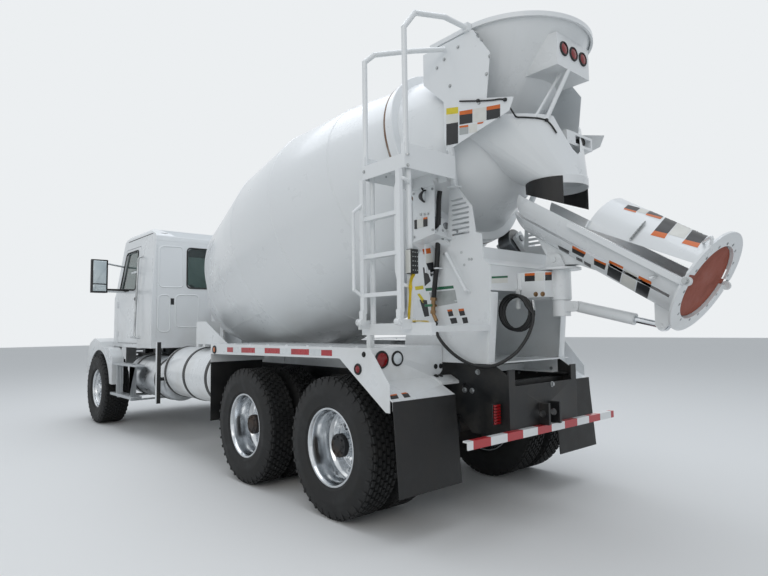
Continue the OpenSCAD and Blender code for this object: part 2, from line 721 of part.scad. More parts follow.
module hood() {
    color(white) truck() difference() {
        union() {
            difference() {
                hood_form(0);
                hood_form(hood_skin);
                block([hood_rear - 20, -hood_half, 850], [6990, hood_half, cab_floor_z + 1]);
            }
            both_sides() difference() {
                across(fender_in, fender_y) polygon(wing_line(0));
                across(fender_in - 20, fender_y - hood_skin) polygon(wing_line(hood_skin));
                translate([front_axle_x, fender_y + 20, front_tyre_r]) rotate([90, 0, 0])
                    cylinder(h = fender_y, r = arch_r);
                block([5400, 0, 0], [hood_rear, cab_half_w + 24, 1300]);
            }
            both_sides() block([hood_pin_x - 30, 280, hood_pin_z - 30], [7036, 296, 900]);
        }
        grille_hole();
        translate([hood_pin_x, -400, hood_pin_z]) rotate([-90, 0, 0]) cylinder(h = 800, r = hood_pin_r + run_gap);
        intersection() {
            hood_form(hood_skin);
            both_sides() block([hood_rear - 10, 600, cab_floor_z - 20], [7000, hood_half, 1500]);
        }
    }
}
grille_half = 430;
module grille_hole() {
    along(6990, 7100) polygon(rounded([
        [-grille_half, 950, 40], [-grille_half + 30, 1540, 60], [grille_half - 30, 1540, 60], [grille_half, 950, 40]
    ]));
}
module grille() {
    color(bright) truck() {
        intersection() {
            grille_hole();
            difference() {
                hood_form(0);
                hood_form(hood_skin);
            }
            union() {
                for (z = [970:60:1520]) block([6900, -grille_half, z], [7100, grille_half, z + 34]);
                for (y = [-300:150:300]) block([6900, y - 8, 940], [7100, y + 8, 1570]);
            }
        }
        both_sides() along(6960, 6985) polygon(rounded([
            [800, 880, 40], [790, 1040, 40], [1080, 1030, 60], [1090, 900, 40]
        ]));
    }
}

// Tanks along the left side; each lies at [x of its rear end, y, z]
fuel_at = [3760, 850, 800];
fuel_len = 1340;
water_at = [2150, 900, 920];
water_len = 1350;
dome_h = 50;
module tank(at, r, long) {
    truck() translate(at) rotate([0, 90, 0]) rotate_extrude($fn = 96) polygon(rounded([
        [0, -dome_h, 0], [r * 0.7, -dome_h * 0.6, 120], [r, 0, 60], [r, long, 60],
        [r * 0.7, long + dome_h * 0.6, 120], [0, long + dome_h, 0]
    ]));
}
module fuel_tank() { color(bright) tank(fuel_at, fuel_r, fuel_len); }
module water_tank() { color(white) tank(water_at, water_r, water_len); }

strap_w = 60;
strap_t = 6;
// One strap round a tank at x, with its bracket on the rail
module strap(x, at, r) {
    difference() {
        union() {
            translate([x - strap_w / 2, at.y, at.z]) rotate([0, 90, 0]) cylinder(h = strap_w, r = r + strap_t);
            block([x - strap_w / 2, rail_y, rail_bottom + 20], [x + strap_w / 2, at.y, rail_top - 40]);
        }
        translate([x - strap_w, at.y, at.z]) rotate([0, 90, 0]) cylinder(h = 2 * strap_w, r = r + seat_gap);
    }
}
post_x = 3640;
post_y = 1220;
module tank_mounts() {
    color(bright) truck() {
        for (x = [4000, 4860]) strap(x, fuel_at, fuel_r);
        for (x = [2250, 2850, 3420]) strap(x, water_at, water_r);
        block([post_x - 25, post_y - 25, 530], [post_x + 25, post_y + 25, 1290]);
        block([post_x - 25, rail_y, rail_bottom + 20], [post_x + 25, rail_y + 30, rail_top - 40]);
        block([post_x - 25, rail_y, rail_bottom + 20], [post_x + 25, post_y, rail_bottom + 60]);
    }
}

step_y = 1240;
upper_step_z = 970;
lower_step_z = 530;
step_t = 30;
box_x = [3900, 5300];
module side_steps() {
    color(bright) truck() {
        block([4450, 1110, upper_step_z - step_t], [5500, step_y, upper_step_z]);
        block([4600, 1100, lower_step_z - 40], [5600, step_y, lower_step_z]);
        for (x = [4700, 5300]) {
            block([x - 6, 1145, lower_step_z - 10], [x + 6, step_y, upper_step_z - 10]);
            block([x - 25, rail_y, lower_step_z - 60], [x + 25, step_y - 20, lower_step_z - 40]);
            block([x - 25, rail_y, lower_step_z - 60], [x + 25, rail_y + 38, rail_top - 50]);
        }
        difference() {
            block([box_x[0], -1170, 560], [box_x[1], -460, 1060]);
            for (z = [640, 860]) block([box_x[1] - 620, -1180, z], [box_x[1] - 80, -1040, z + 160]);
        }
        for (x = [box_x[0] + 200, box_x[1] - 300]) block([x - 40, -461, rail_bottom + 10], [x + 40, -rail_y, rail_top - 20]);
    }
}

// Mixer frame: channels on the rails, drive pedestal with its gearbox, oil cooler
subframe_rear = -950;
subframe_front = 4250;
gearbox_r = 200;
gearbox_len = 330;
flange_s = 40;
module drum_frame() {
    translate([drum_front_x - origin_ahead, 0, drum_front_z]) rotate([0, drum_slope - 90, 0]) children();
}
module subframe() {
    color(white) {
        truck() {
            both_sides() along(subframe_rear, subframe_front) polygon([
                [rail_y, rail_top], [rail_y, subframe_top], [rail_y - rail_flange, subframe_top],
                [rail_y - rail_flange, subframe_top - rail_wall], [rail_y - rail_wall, subframe_top - rail_wall],
                [rail_y - rail_wall, rail_top + rail_wall], [rail_y - rail_flange, rail_top + rail_wall],
                [rail_y - rail_flange, rail_top]
            ]);
            for (x = [-600, 500, 1500, 3500, 4050]) block([x - 30, 1 - rail_y, rail_top + 10], [x + 30, rail_y - 1, rail_top + 60]);
            block([3870, -rail_y, subframe_top], [subframe_front, rail_y, subframe_top + 16]);
            both_sides() across(gearbox_r + 15, gearbox_r + 45) polygon([
                [3880, subframe_top + 15], [4240, subframe_top + 15], [4290, 1640], [4190, 1760], [3960, 1700],
                [3925, 1640], [3890, 1400]
            ]);
            cooler();
        }
        drum_frame() {
            translate([0, 0, -gearbox_len]) cylinder(h = gearbox_len - 60, r = gearbox_r);
            translate([0, 0, -61]) cylinder(h = 61 + flange_s - run_gap, r = 165);
            translate([-180, -gearbox_r - 44, -110]) cube([360, 2 * gearbox_r + 88, 40]);
        }
    }
}
cooler_x = [2620, 2860];
cooler_y = [880, 1060];
cooler_z = [1272, 1530];
module cooler() {
    block([cooler_x[0], cooler_y[0], cooler_z[0]], [cooler_x[1], cooler_y[1], cooler_z[1]]);
    across(cooler_y[1] - 10, cooler_y[1]) polygon([
        [cooler_x[0] + 1, cooler_z[0]], [cooler_x[0] + 1, cooler_z[1]], [fender_front + 40, cooler_z[0] + 30],
        [fender_front, deck_z], [fender_front, cooler_z[0]]
    ]);
    for (x = cooler_x - [0, 60]) {
        block([x, rail_y, rail_top + 10], [x + 60, 580, subframe_top - 30]);
        block([x, 552, rail_top + 10], [x + 60, 580, cooler_z[0]]);
        block([x, 552, cooler_z[0] - 30], [x + 60, cooler_y[1], cooler_z[0]]);
    }
}

flap_x = -763;
module fenders() {
    deck_in = 560;
    bar_top = deck_z - 28;
    color(white) truck() both_sides() {
        block([-530, deck_in, deck_z - fender_wall], [fender_front, fender_y, deck_z]);
        across(fender_y - fender_wall, fender_y) polygon([
            [fender_front, deck_z], [-530, deck_z], [-730, 1051], [-730, 864], [-690, 864], [-175, 1209],
            [fender_front, 1185]
        ]);
        along(-530 - fender_wall, -530 + 1) polygon([
            [fender_y - 1, 1020], [fender_y - 1, deck_z], [520, deck_z], [520, 1100], [600, 1020]
        ]);
        across(634, fender_y - 1) polygon([
            [-535, 1055], [-535, 1048], [flap_x + 7, 936], [flap_x + 7, 880], [flap_x, 880], [flap_x, 943]
        ]);
        block([fender_front - 8, 620, 1100], [fender_front, fender_y - 1, deck_z - 1]);
        for (x = [680, 1950]) {
            block([x - 25, rail_y, rail_top + 10], [x + 25, rail_y + 20, bar_top]);
            block([x - 25, rail_y, bar_top - 40], [x + 25, fender_y - 2, bar_top]);
        }
        for (x = [-400, 680, 1950]) block([x - 25, deck_in, bar_top - 10], [x + 25, fender_y - 2, deck_z - fender_wall + 1]);
        block([-425, ped_y + ped_t + seat_gap, bar_top - 40], [-375, fender_y - 2, bar_top]);
        across(rail_y + 14 + seat_gap, 640) polygon([
            [-640, 1000], [-600, 1000], [-535, 1040], [-535, 1060], [-560, 1060], [-640, 1020]
        ]);
    }
}
module rubber_flaps() {
    color(rubber) truck() {
        both_sides() {
            across(638, fender_y + 4) polygon([
                [flap_x, 941], [flap_x - 8, 941], [flap_x - 12, 860], [flap_x - 58, 324], [flap_x - 50, 324],
                [flap_x - 4, 860], [flap_x, 880]
            ]);
            block([fender_front, 640, 500], [fender_front + 8, fender_y - 4, 1260]);
        }
        difference() {
            translate([swing_x, 0, 2200]) cylinder(h = 300, r = collar_r + 8);
            translate([swing_x, 0, 2100]) cylinder(h = 500, r = collar_r + seat_gap);
            across(-400, 400) polygon([[swing_x - 400, 2050], [swing_x - 400, 2198], [-1030, 2450], [-900, 2510], [-900, 2050]]);
            block([swing_x - 300, -400, 2100], [swing_x - 150, 400, 2600]);
        }
    }
}

// Drum profile [distance from the front end along the axis, radius]
drum_line = [
    [flange_s, 0], [flange_s, 200], [75, 200], [75, 330], [140, 430], [224, 504], [1252, 987], [2252, drum_r],
    [3023, 1111], [3787, 951], [ring_at, 747], [drum_len, mouth_r]
];
module drum() {
    inner = [for (i = [3:len(drum_line) - 1]) [drum_line[i].y - drum_wall, max(drum_line[i].x, 85)]];
    color(white) drum_frame() {
        rotate_extrude($fn = 128) polygon(concat(
            [for (p = drum_line) [p.y, p.x]],
            [[mouth_r - drum_wall, drum_len]],
            [for (i = [len(inner) - 2:-1:0]) inner[i]],
            [[0, 85]]
        ));
        rotate_extrude($fn = 128) polygon([
            [740, ring_at - ring_w / 2], [ring_r, ring_at - ring_w / 2], [ring_r, ring_at + ring_w / 2],
            [720, ring_at + ring_w / 2]
        ]);
    }
}

// Drum rollers under the track ring, in seats on the rear pedestal
roller_at = ring_r + roller_r + run_gap;
roller_w = ring_w + 20;
roller_shaft_r = 30;
seat_t = 40;
module roller_frame(side) {
    drum_frame() rotate([0, 0, 180 - side * roller_angle]) translate([roller_at, 0, ring_at]) children();
}
module roller(side) {
    color(steel) roller_frame(side) {
        translate([0, 0, -roller_w / 2]) cylinder(h = roller_w, r = roller_r);
        translate([0, 0, -roller_w / 2 - 60]) cylinder(h = roller_w + 120, r = roller_shaft_r);
    }
}
module roller_left() { roller(1); }
module roller_right() { roller(-1); }
module roller_seats(side) {
    roller_frame(side) {
        for (s = [-1, 1]) difference() {
            translate([-50, -60, s > 0 ? roller_w / 2 + 8 : -roller_w / 2 - 8 - seat_t]) cube([roller_r + 70, 120, seat_t]);
            translate([0, 0, -200]) cylinder(h = 400, r = roller_shaft_r + run_gap);
        }
        translate([roller_r + 15, -110, -roller_w / 2 - 60]) cube([20, 220, roller_w + 120]);
    }
}

ped_y = 500;
ped_t = 8;
sleeve_r = 75;
post_r = 44.5;
sleeve_z = [1620, 1840];
slot_n = 8;
module rear_pedestal() {
    color(white) {
        truck() {
            both_sides() difference() {
                across(ped_y, ped_y + ped_t) polygon([
                    [-80, subframe_top], [-960, subframe_top], [-1010, 1680], [-1008, 1880], [-955, 1925],
                    [-945, 2110], [-890, 2130], [-860, 2330], [-720, 2500], [-640, 2500], [-600, 2050], [-300, 2050], [-220, 1900]
                ]);
                for (i = [0:slot_n - 1]) {
                    z = 2130 + 38 * i;
                    x0 = z < 2330 ? -830 : -830 + (z - 2330) * 0.82;
                    across(ped_y - 5, ped_y + ped_t + 5) polygon(rounded([
                        [x0, z, 7], [x0, z + 16, 7], [-655, z + 16, 7], [-655, z, 7]
                    ]));
                }
            }
            block([-1000, -ped_y - ped_t, subframe_top], [-80, ped_y + ped_t, subframe_top + 10]);
            block([-208, -ped_y - 1, subframe_top + 9], [-200, ped_y + 1, 1900]);
            both_sides() across(ped_y - 75, ped_y + 1) polygon([
                [-960, subframe_top + 5], [-968, subframe_top + 5], [-1018, 1680], [-1010, 1680]
            ]);
            across(-ped_y - 1, ped_y + 1) polygon([[-1005, 1692], [-1018, 1692], [-1013, 1875], [-1000, 1875]]);
            block([-720, -ped_y - 1, 1660], [-560, ped_y + 1, 1800]);
            pipe([[-680, ped_y - 1, 1640], [-680, 100, subframe_top + 5]], 18);
            block([-1050, 175, 1700], [-1020, 188, 1825]);
            block([-1050, 180, 1700], [-1020, 212, 1708]);
            block([-1050, 204, 1560], [-1020, 212, 1708]);
            both_sides() across(ped_y + ped_t - 1, ped_y + 150) polygon([
                [-505, 1850], [-495, 1850], [-495, 2075], [-505, 2075]
            ]);
            pipe([[-820, ped_y + ped_t - 2, 1690], [-820, ped_y + 60, 1700], [-640, ped_y + 60, 1990],
                  [-570, ped_y + ped_t - 2, 2000]], 12);
            difference() {
                union() {
                    block([swing_x + 20, -180, 1640], [-620, 180, 1830]);
                    translate([swing_x, 0, sleeve_z[0]]) cylinder(h = sleeve_z[1] - sleeve_z[0], r = sleeve_r);
                }
                translate([swing_x, 0, sleeve_z[0] - 1]) cylinder(h = 300, r = post_r + run_gap);
            }
        }
        roller_seats(1);
        roller_seats(-1);
    }
}

// Charge hopper over the drum's mouth: a funnel from its U-shaped rim to a spout in the mouth
module rim_shape(d) {
    translate([hopper_x, 0]) circle(r = hopper_half_w - d);
    translate([hopper_x, d - hopper_half_w]) square([-560 - d - hopper_x, 2 * (hopper_half_w - d)]);
}
spout_x = -720;
spout_z = 2950;
module funnel(d) {
    hull() {
        translate([0, 0, hopper_rim_z]) linear_extrude(1) rim_shape(d);
        translate([spout_x, 0, spout_z]) cylinder(h = 1, r = 230 - d, $fn = 32);
    }
}
mouth_gap = 22;
plate_y = 620;
rim_band = 12;
// Room that the turning drum needs, grown by its clearance
module drum_room() {
    translate([origin_ahead, 0, 0]) drum_frame() {
        difference() {
            translate([0, 0, 4500]) cylinder(h = drum_len + mouth_gap - 4500, r1 = 747 + mouth_gap, r2 = mouth_r + mouth_gap);
            translate([0, 0, 4400]) cylinder(h = 900, r = mouth_r - drum_wall - mouth_gap);
        }
        translate([-900, -900, 4000]) cube([1800, 1800, 870]);
    }
}
lamp_box_x = -1440;
module charge_hopper() {
    color(white) truck() difference() {
        union() {
            funnel(0);
            translate([0, 0, hopper_rim_z - 34]) linear_extrude(36) rim_shape(-rim_band);
            across(-220, 220) polygon([
                [lamp_box_x, 3300], [lamp_box_x, 3540], [-1360, 3548], [-1120, 3300]
            ]);
            block([-1000, -plate_y + 6, 3592], [-500, plate_y - 6, 3598]);
        }
        funnel(hopper_wall);
        translate([0, 0, hopper_rim_z - 40]) linear_extrude(60) rim_shape(hopper_wall);
        drum_room();
    }
}

// Collector under the mouth, with the plates that close the sides and a camera box at its rear
spout_r = 220;
collar_r = spout_r + 4;
collar_z = 2450;
collector_z = 2950;
module collector_cone(d) {
    hull() {
        translate([0, 0, collector_z]) linear_extrude(1 + d) translate([-780, 0]) {
            circle(r = plate_y - 6 - d, $fn = 48);
            translate([0, d - plate_y + 6]) square([60, 2 * (plate_y - 6 - d)]);
        }
        translate([swing_x, 0, 2500]) cylinder(h = 1, r = spout_r - d, $fn = 48);
    }
}
module collector() {
    color(white) truck() {
        difference() {
            union() {
                collector_cone(0);
                translate([swing_x, 0, collar_z]) cylinder(h = 60, r = collar_r);
                both_sides() across(plate_y - 6, plate_y) polygon([
                    [-490, 3600], [-1000, 3600], [-1150, 3370], [-1110, 3050], [-1340, 2985], [-1300, 2900],
                    [-720, 2760], [-700, 2860], [-700, 3150], [-490, 3350]
                ]);
            }
            collector_cone(hopper_wall);
            translate([swing_x, 0, collar_z - 10]) cylinder(h = 80, r = spout_r - hopper_wall - 2);
            across(-400, 400) polygon([[-1345, 3010], [-1480, 2570], [-1560, 2570], [-1560, 3010]]);
            block([-1560, -700, 2520], [-1480, 700, 3010]);
            drum_room_filled();
        }
        difference() {
            block([-1400, -300, 2770], [-1310, 60, 2870]);
            block([-1410, -280, 2790], [-1330, -60, 2850]);
        }
        both_sides() {
            pipe([[-690, ped_y + 5, 2520], [-760, plate_y - 4, 2800]], 26);
            block([-730, ped_y - 30, 2500], [-640, ped_y + 38, 2514]);
        }
    }
}
module drum_room_filled() {
    translate([origin_ahead, 0, 0]) drum_frame()
        translate([0, 0, 4300]) cylinder(h = drum_len + mouth_gap - 4300, r1 = 796 + mouth_gap, r2 = mouth_r + mouth_gap);
}

// Platform beside the drum's mouth, its rails and the bracket that carries the ladder
floor_z = 2595;
floor_x = [-885, -440];
floor_y = [712, 1215];
hinge_y = 1262;
hinge_z = 1470;
rail_tube = 19;
ladder_x = [-850, -465];
module platform() {
    side_face = ped_y + ped_t + seat_gap;
    rim_side = hopper_half_w + rim_band + seat_gap;
    rail_side = floor_y[1] - 22;
    color(white) truck() {
        difference() {
            block([floor_x[0], floor_y[0], floor_z - 100], [floor_x[1], floor_y[1], floor_z + 70]);
            block([floor_x[0] + 6, floor_y[0] + 6, floor_z], [floor_x[1] - 6, floor_y[1] - 6, floor_z + 80]);
            block([floor_x[0] + 6, floor_y[0] + 6, floor_z - 110], [floor_x[1] - 6, floor_y[1] - 6, floor_z - 8]);
            block([ladder_x[0], floor_y[1] - 20, floor_z], [ladder_x[1], floor_y[1] + 1, floor_z + 80]);
        }
        for (x = [-830, -700]) pipe([[x, side_face, 2060], [x, side_face + 60, 2060],
                                     [x, floor_y[0] + 20, floor_z - 60]], 22);
        for (x = ladder_x) pipe([[x, 1150, hinge_z - 10], [x, 1150, floor_z - 4]], 20);
        block([-1060, 1130, 1380], [-360, 1170, 1460]);
        for (x = [-440, -420]) block([x - 10, 1130, deck_z], [x + 10, 1170, 1381]);
        block([-1000, side_face, 1400], [-940, 1131, 1440]);
        for (x = [ladder_x[0] - 32, ladder_x[1] + 22]) difference() {
            union() {
                block([x, 1130, 1420], [x + 10, hinge_y, hinge_z + 15]);
                translate([x, hinge_y, hinge_z]) rotate([0, 90, 0]) cylinder(h = 10, r = 26);
            }
            translate([x - 5, hinge_y, hinge_z]) rotate([0, 90, 0]) cylinder(h = 20, r = 12.5);
        }
        pipe([[floor_x[1] - 10, rail_side, floor_z - 8], [floor_x[1] - 10, rail_side, 3380],
              [-490, rail_side - 60, 3440], [-620, 880, 3500], [-740, plate_y + rail_tube + seat_gap, 3545]], rail_tube);
        pipe([[floor_x[0] + 10, rail_side, floor_z - 8], [floor_x[0] + 10, rail_side, 3470], [-900, 1110, 3590],
              [-935, 850, 3640], [-950, rim_side + 22, 3630]], rail_tube);
        block([-975, rim_side, 3600], [-925, rim_side + 44, 3660]);
    }
}
module ladder() {
    pin_len = 22;
    color(white) truck() {
        for (x = ladder_x) {
            along(x - 20, x + 20) {
                translate([1222, 1530]) square([30, 955]);
                translate([1230, hinge_z]) square([32, 80]);
                translate([hinge_y, hinge_z]) circle(r = 22);
            }
        }
        for (z = [1645, 1915, 2185]) block([ladder_x[0] + 10, 1196, z], [ladder_x[1] - 10, 1246, z + 28]);
        translate([ladder_x[0] - 20 - pin_len, hinge_y, hinge_z]) rotate([0, 90, 0]) cylinder(h = pin_len + 10, r = 12);
        translate([ladder_x[1] + 10, hinge_y, hinge_z]) rotate([0, 90, 0]) cylinder(h = pin_len + 10, r = 12);
        pipe([[ladder_x[1], 1240, 1650], [ladder_x[1] + 30, 1300, 1700], [ladder_x[1] + 30, 1300, 2250],
              [ladder_x[1], 1240, 2310]], 12);
    }
}

// Lamps: [x, y, z, radius] facing the rear
rear_lamps = [[-536, 1114, 1210, 50], [-536, 963, 1210, 50], [-536, -1114, 1210, 50], [-536, -963, 1210, 50]];
hopper_lamps = [-130, 0, 130];
module lamps() {
    color(red) truck() {
        for (p = rear_lamps) translate([p.x, p.y, p.z]) rotate([0, -90, 0]) cylinder(h = 22, r1 = p[3] + 6, r2 = p[3]);
        for (y = hopper_lamps) translate([lamp_box_x, y, 3440]) rotate([0, -90, 0]) cylinder(h = 20, r1 = 48, r2 = 42);
        both_sides() translate([-385, fender_y, 1240]) rotate([-90, 0, 0]) cylinder(h = 12, r = 30);
        both_sides() translate([tail_x - 16, 300, 900]) rotate([0, -90, 0]) cylinder(h = 24, r1 = 44, r2 = 38);
    }
}

// Swing arm: the post that turns in the pedestal's sleeve and carries the chute
base_pin_r = 12;
base_pin = [swing_x - 120, 1570];
disc_z = sleeve_z[1] + run_gap;
cheek_y = 70;
cheek_t = 15;
lift_pin_r = 20;
module swing_arm() {
    color(white) truck() {
        translate([swing_x, 0, 1500]) cylinder(h = disc_z - 1499, r = post_r);
        translate([swing_x, 0, 1500]) cylinder(h = sleeve_z[0] - run_gap - 1500, r = 65);
        translate([swing_x, 0, disc_z]) cylinder(h = 16, r = 150);
        both_sides() {
            difference() {
                across(cheek_y, cheek_y + cheek_t) polygon(rounded([
                    [swing_x - 90, disc_z + 15, 0], [swing_x - 50, lift_pivot_z + 42, 30],
                    [swing_x + 50, lift_pivot_z + 42, 30], [swing_x + 90, disc_z + 15, 0]
                ]));
                translate([swing_x, 0, lift_pivot_z]) rotate([-90, 0, 0]) cylinder(h = 200, r = lift_pin_r + run_gap);
            }
            across(28, 42) polygon(rounded([
                [swing_x - 20, 1530, 0], [base_pin.x - 40, 1535, 30], [base_pin.x - 40, 1605, 30],
                [swing_x - 20, 1610, 0]
            ]));
        }
        translate([base_pin.x, -50, base_pin.y]) rotate([-90, 0, 0]) cylinder(h = 100, r = base_pin_r);
    }
}

// Chute frame: x runs down the chute, z out of it, from the swing axis at the rim
module chute_frame() {
    translate([swing_x - origin_ahead, 0, chute_rim_z]) rotate([0, chute_slope, 180]) children();
}
// Place of a point [along the chute, out of it] in the truck's side view
function chute_point(u, w) = [swing_x - u * cos(chute_slope) - w * sin(chute_slope),
                              chute_rim_z - u * sin(chute_slope) + w * cos(chute_slope)];
pivot_u = (chute_rim_z - lift_pivot_z) * sin(chute_slope);
pivot_w = -(chute_rim_z - lift_pivot_z) * cos(chute_slope);
lug_u = 1085;
lug_w = -359;
flange_t = 15;
flange_back = 3;
ear_y = 300;
ear_t = 12;
ear_pin_r = 12;
chute_out = chute_r + chute_wall;
module tube_x(u0, u1, r) {
    translate([u0, 0, 0]) rotate([0, 90, 0]) cylinder(h = u1 - u0, r = r);
}
module slab(u0, u1, y0, y1, w0, w1) {
    block([u0, y0, w0], [u1, y1, w1]);
}
module ear(y) {
    translate([chute_tail, y, 0]) rotate([-90, 0, 0]) cylinder(h = ear_t, r = 28);
}
module chute() {
    scoop_u = chute_r - chute_head;
    color(white) chute_frame() {
        difference() {
            union() {
                difference() {
                    union() {
                        tube_x(scoop_u, chute_tail - flange_back, chute_out);
                        translate([scoop_u, 0, 0]) sphere(r = chute_out);
                    }
                    tube_x(scoop_u, chute_tail + 10, chute_r);
                    translate([scoop_u, 0, 0]) sphere(r = chute_r);
                    slab(-800, 1400, -400, 400, 0, 400);
                }
                difference() {
                    tube_x(chute_tail - flange_back - flange_t, chute_tail - flange_back, flange_r);
                    tube_x(chute_tail - 100, chute_tail + 10, chute_r);
                    slab(1000, 1400, -400, 400, 0, 400);
                    both_sides() slab(1000, 1400, ear_y + ear_t + 2, 400, -36, 400);
                }
                both_sides() {
                    slab(300, chute_tail - 20, chute_r + 2, chute_r + 40, -6, 0);
                    slab(300, chute_tail - 20, chute_r + 34, chute_r + 40, -40, 0);
                    ear(ear_y);
                    slab(chute_tail - 18, chute_tail - flange_back, ear_y, ear_y + ear_t, -60, 0);
                    translate([chute_tail, ear_y, 0]) rotate([-90, 0, 0]) cylinder(h = 2 * ear_t + 12, r = ear_pin_r);
                }
                keel();
            }
            slab(-800, 1100, -220, 220, -chute_r * 0.6, 0);
        }
    }
}
module keel() {
    both_sides() {
        difference() {
            across(cheek_y - 20, cheek_y - 5) polygon(rounded([
                [-60, -chute_out + 30, 0], [pivot_u - 60, pivot_w - 20, 20], [pivot_u + 30, pivot_w - 26, 20],
                [pivot_u + 170, pivot_w + 50, 40], [pivot_u + 420, -chute_out + 25, 0]
            ]));
            tube_x(-400, 1300, chute_r + 1);
        }
        difference() {
            across(26, 38) polygon(rounded([
                [lug_u - 120, -chute_out + 20, 0], [lug_u - 30, lug_w - 25, 25], [lug_u + 25, lug_w - 25, 25],
                [chute_tail - 40, -chute_out + 20, 0]
            ]));
            tube_x(900, 1300, chute_r + 1);
        }
    }
    translate([pivot_u, -cheek_y - cheek_t - 8, pivot_w]) rotate([-90, 0, 0])
        cylinder(h = 2 * (cheek_y + cheek_t + 8), r = lift_pin_r);
    translate([lug_u, -46, lug_w]) rotate([-90, 0, 0]) cylinder(h = 92, r = base_pin_r);
}
module fold_chute() {
    fold_u = chute_tail - fold_len;
    color(white) chute_frame() {
        difference() {
            tube_x(fold_u, chute_tail - flange_back, chute_out);
            tube_x(fold_u - 10, chute_tail + 10, chute_r);
            across(-400, 400) polygon([
                [0, 6], [fold_u, 6], [chute_tail - 30, 100], [chute_tail + 50, 100], [chute_tail + 50, -400], [0, -400]
            ]);
        }
        difference() {
            tube_x(chute_tail - flange_back - flange_t, chute_tail - flange_back, flange_r);
            tube_x(chute_tail - 100, chute_tail + 10, chute_r);
            slab(1000, 1400, -400, 400, -400, 40);
        }
        both_sides() difference() {
            union() {
                ear(ear_y + ear_t + 6);
                slab(chute_tail - 18, chute_tail - flange_back, ear_y + ear_t + 6, ear_y + 2 * ear_t + 6, 0, 90);
            }
            translate([chute_tail, ear_y, 0]) rotate([-90, 0, 0]) cylinder(h = 100, r = ear_pin_r + run_gap);
        }
        slab(fold_u, fold_u + 12, -chute_out - 20, -chute_r + 6, 10, 60);
        slab(fold_u, fold_u + 12, chute_r - 6, chute_out + 20, 10, 60);
    }
}
cover_r = 242;
cover_u = chute_tail - 30;
module chute_cover() {
    color(orange) chute_frame() {
        tube_x(cover_u, cover_u + 8, cover_r);
        slab(cover_u, cover_u + 8, -ear_y + 6, ear_y - 6, seat_gap, 34);
    }
}

// Lift cylinder between the swing arm and the chute's lug
lift_eye = chute_point(lug_u, lug_w);
lift_len = norm(lift_eye - base_pin);
lift_angle = atan2(base_pin.y - lift_eye.y, base_pin.x - lift_eye.x);
rod_r = 22;
barrel_r = 40;
module lift_frame() {
    translate([base_pin.x - origin_ahead, 0, base_pin.y]) rotate([0, -90 - lift_angle, 0]) children();
}
module lift_barrel() {
    color(white) lift_frame() difference() {
        union() {
            translate([0, 23, 0]) rotate([90, 0, 0]) cylinder(h = 46, r = 28);
            translate([0, 0, 20]) cylinder(h = 420, r = barrel_r);
        }
        translate([0, 60, 0]) rotate([90, 0, 0]) cylinder(h = 120, r = base_pin_r + run_gap);
        translate([0, 0, 150]) cylinder(h = 400, r = rod_r + run_gap);
        both_sides() translate([0, 26, 0]) rotate([-90, 0, 0]) cylinder(h = 40, r = 44);
    }
}
eye_play = 9;
module lift_rod() {
    color(bright) lift_frame() difference() {
        union() {
            translate([0, 0, 170]) cylinder(h = lift_len - 170 - 15, r = rod_r);
            translate([0, 20, lift_len]) rotate([90, 0, 0]) cylinder(h = 40, r = 36);
        }
        translate([0, 60, lift_len]) rotate([90, 0, 0]) cylinder(h = 120, r = base_pin_r + eye_play);
    }
}

// Wash-down hose: a coil on its hanger, and a slack lead round to the valve
hose_r = 12.5;
coil_at = [-1035, 240, 1530];
coil_r = [80, 150];
hose_route = [
    [-505, 540, 1470], [-503, 545, 1440], [-508, 548, 1405], [-530, 548, 1355], [-585, 546, 1295],
    [-660, 544, 1238], [-745, 541, 1190], [-835, 538, 1157], [-925, 532, 1142], [-1010, 510, 1148],
    [-1085, 460, 1185], [-1140, 395, 1245], [-1175, 335, 1325], [-1192, 290, 1405], [-1198, 262, 1480],
    [-1180, 245, 1550]
];
function ring_at_point(p, d, r, n) =
    let (w = unit(d), s = unit(cross([0, 1, 0.01], w)), t = cross(w, s))
    [for (i = [0:n - 1]) p + r * (cos(360 * i / n) * s + sin(360 * i / n) * t)];
// Point at q along a smooth curve through the points of the route
function smooth_at(p, i, q) =
    let (a = p[max(i - 1, 0)], b = p[i], c = p[i + 1], d = p[min(i + 2, len(p) - 1)])
    0.5 * (2 * b + (c - a) * q + (2 * a - 5 * b + 4 * c - d) * q * q + (3 * b - a - 3 * c + d) * q * q * q);
function smooth(p, m) = concat([for (i = [0:len(p) - 2], k = [0:m - 1]) smooth_at(p, i, k / m)], [p[len(p) - 1]]);
module sweep(p, r, n) {
    last = len(p) - 1;
    rings = [for (i = [0:last]) ring_at_point(p[i], p[min(i + 1, last)] - p[max(i - 1, 0)], r, n)];
    polyhedron(
        points = [for (k = rings) each k],
        faces = concat(
            [[for (i = [0:n - 1]) i]],
            [for (k = [0:last - 1], i = [0:n - 1])
                [k * n + i, (k + 1) * n + i, (k + 1) * n + (i + 1) % n, k * n + (i + 1) % n]],
            [[for (i = [n - 1:-1:0]) last * n + i]]
        )
    );
}
module hose_lead() {
    color(rubber) truck() sweep(smooth(hose_route, 2), hose_r, 8);
}
module hose_coil() {
    color(rubber) truck() translate(coil_at) rotate([90, 0, 0]) rotate_extrude($fn = 64)
        translate([coil_r[0], -25]) square([coil_r[1] - coil_r[0], 50]);
}

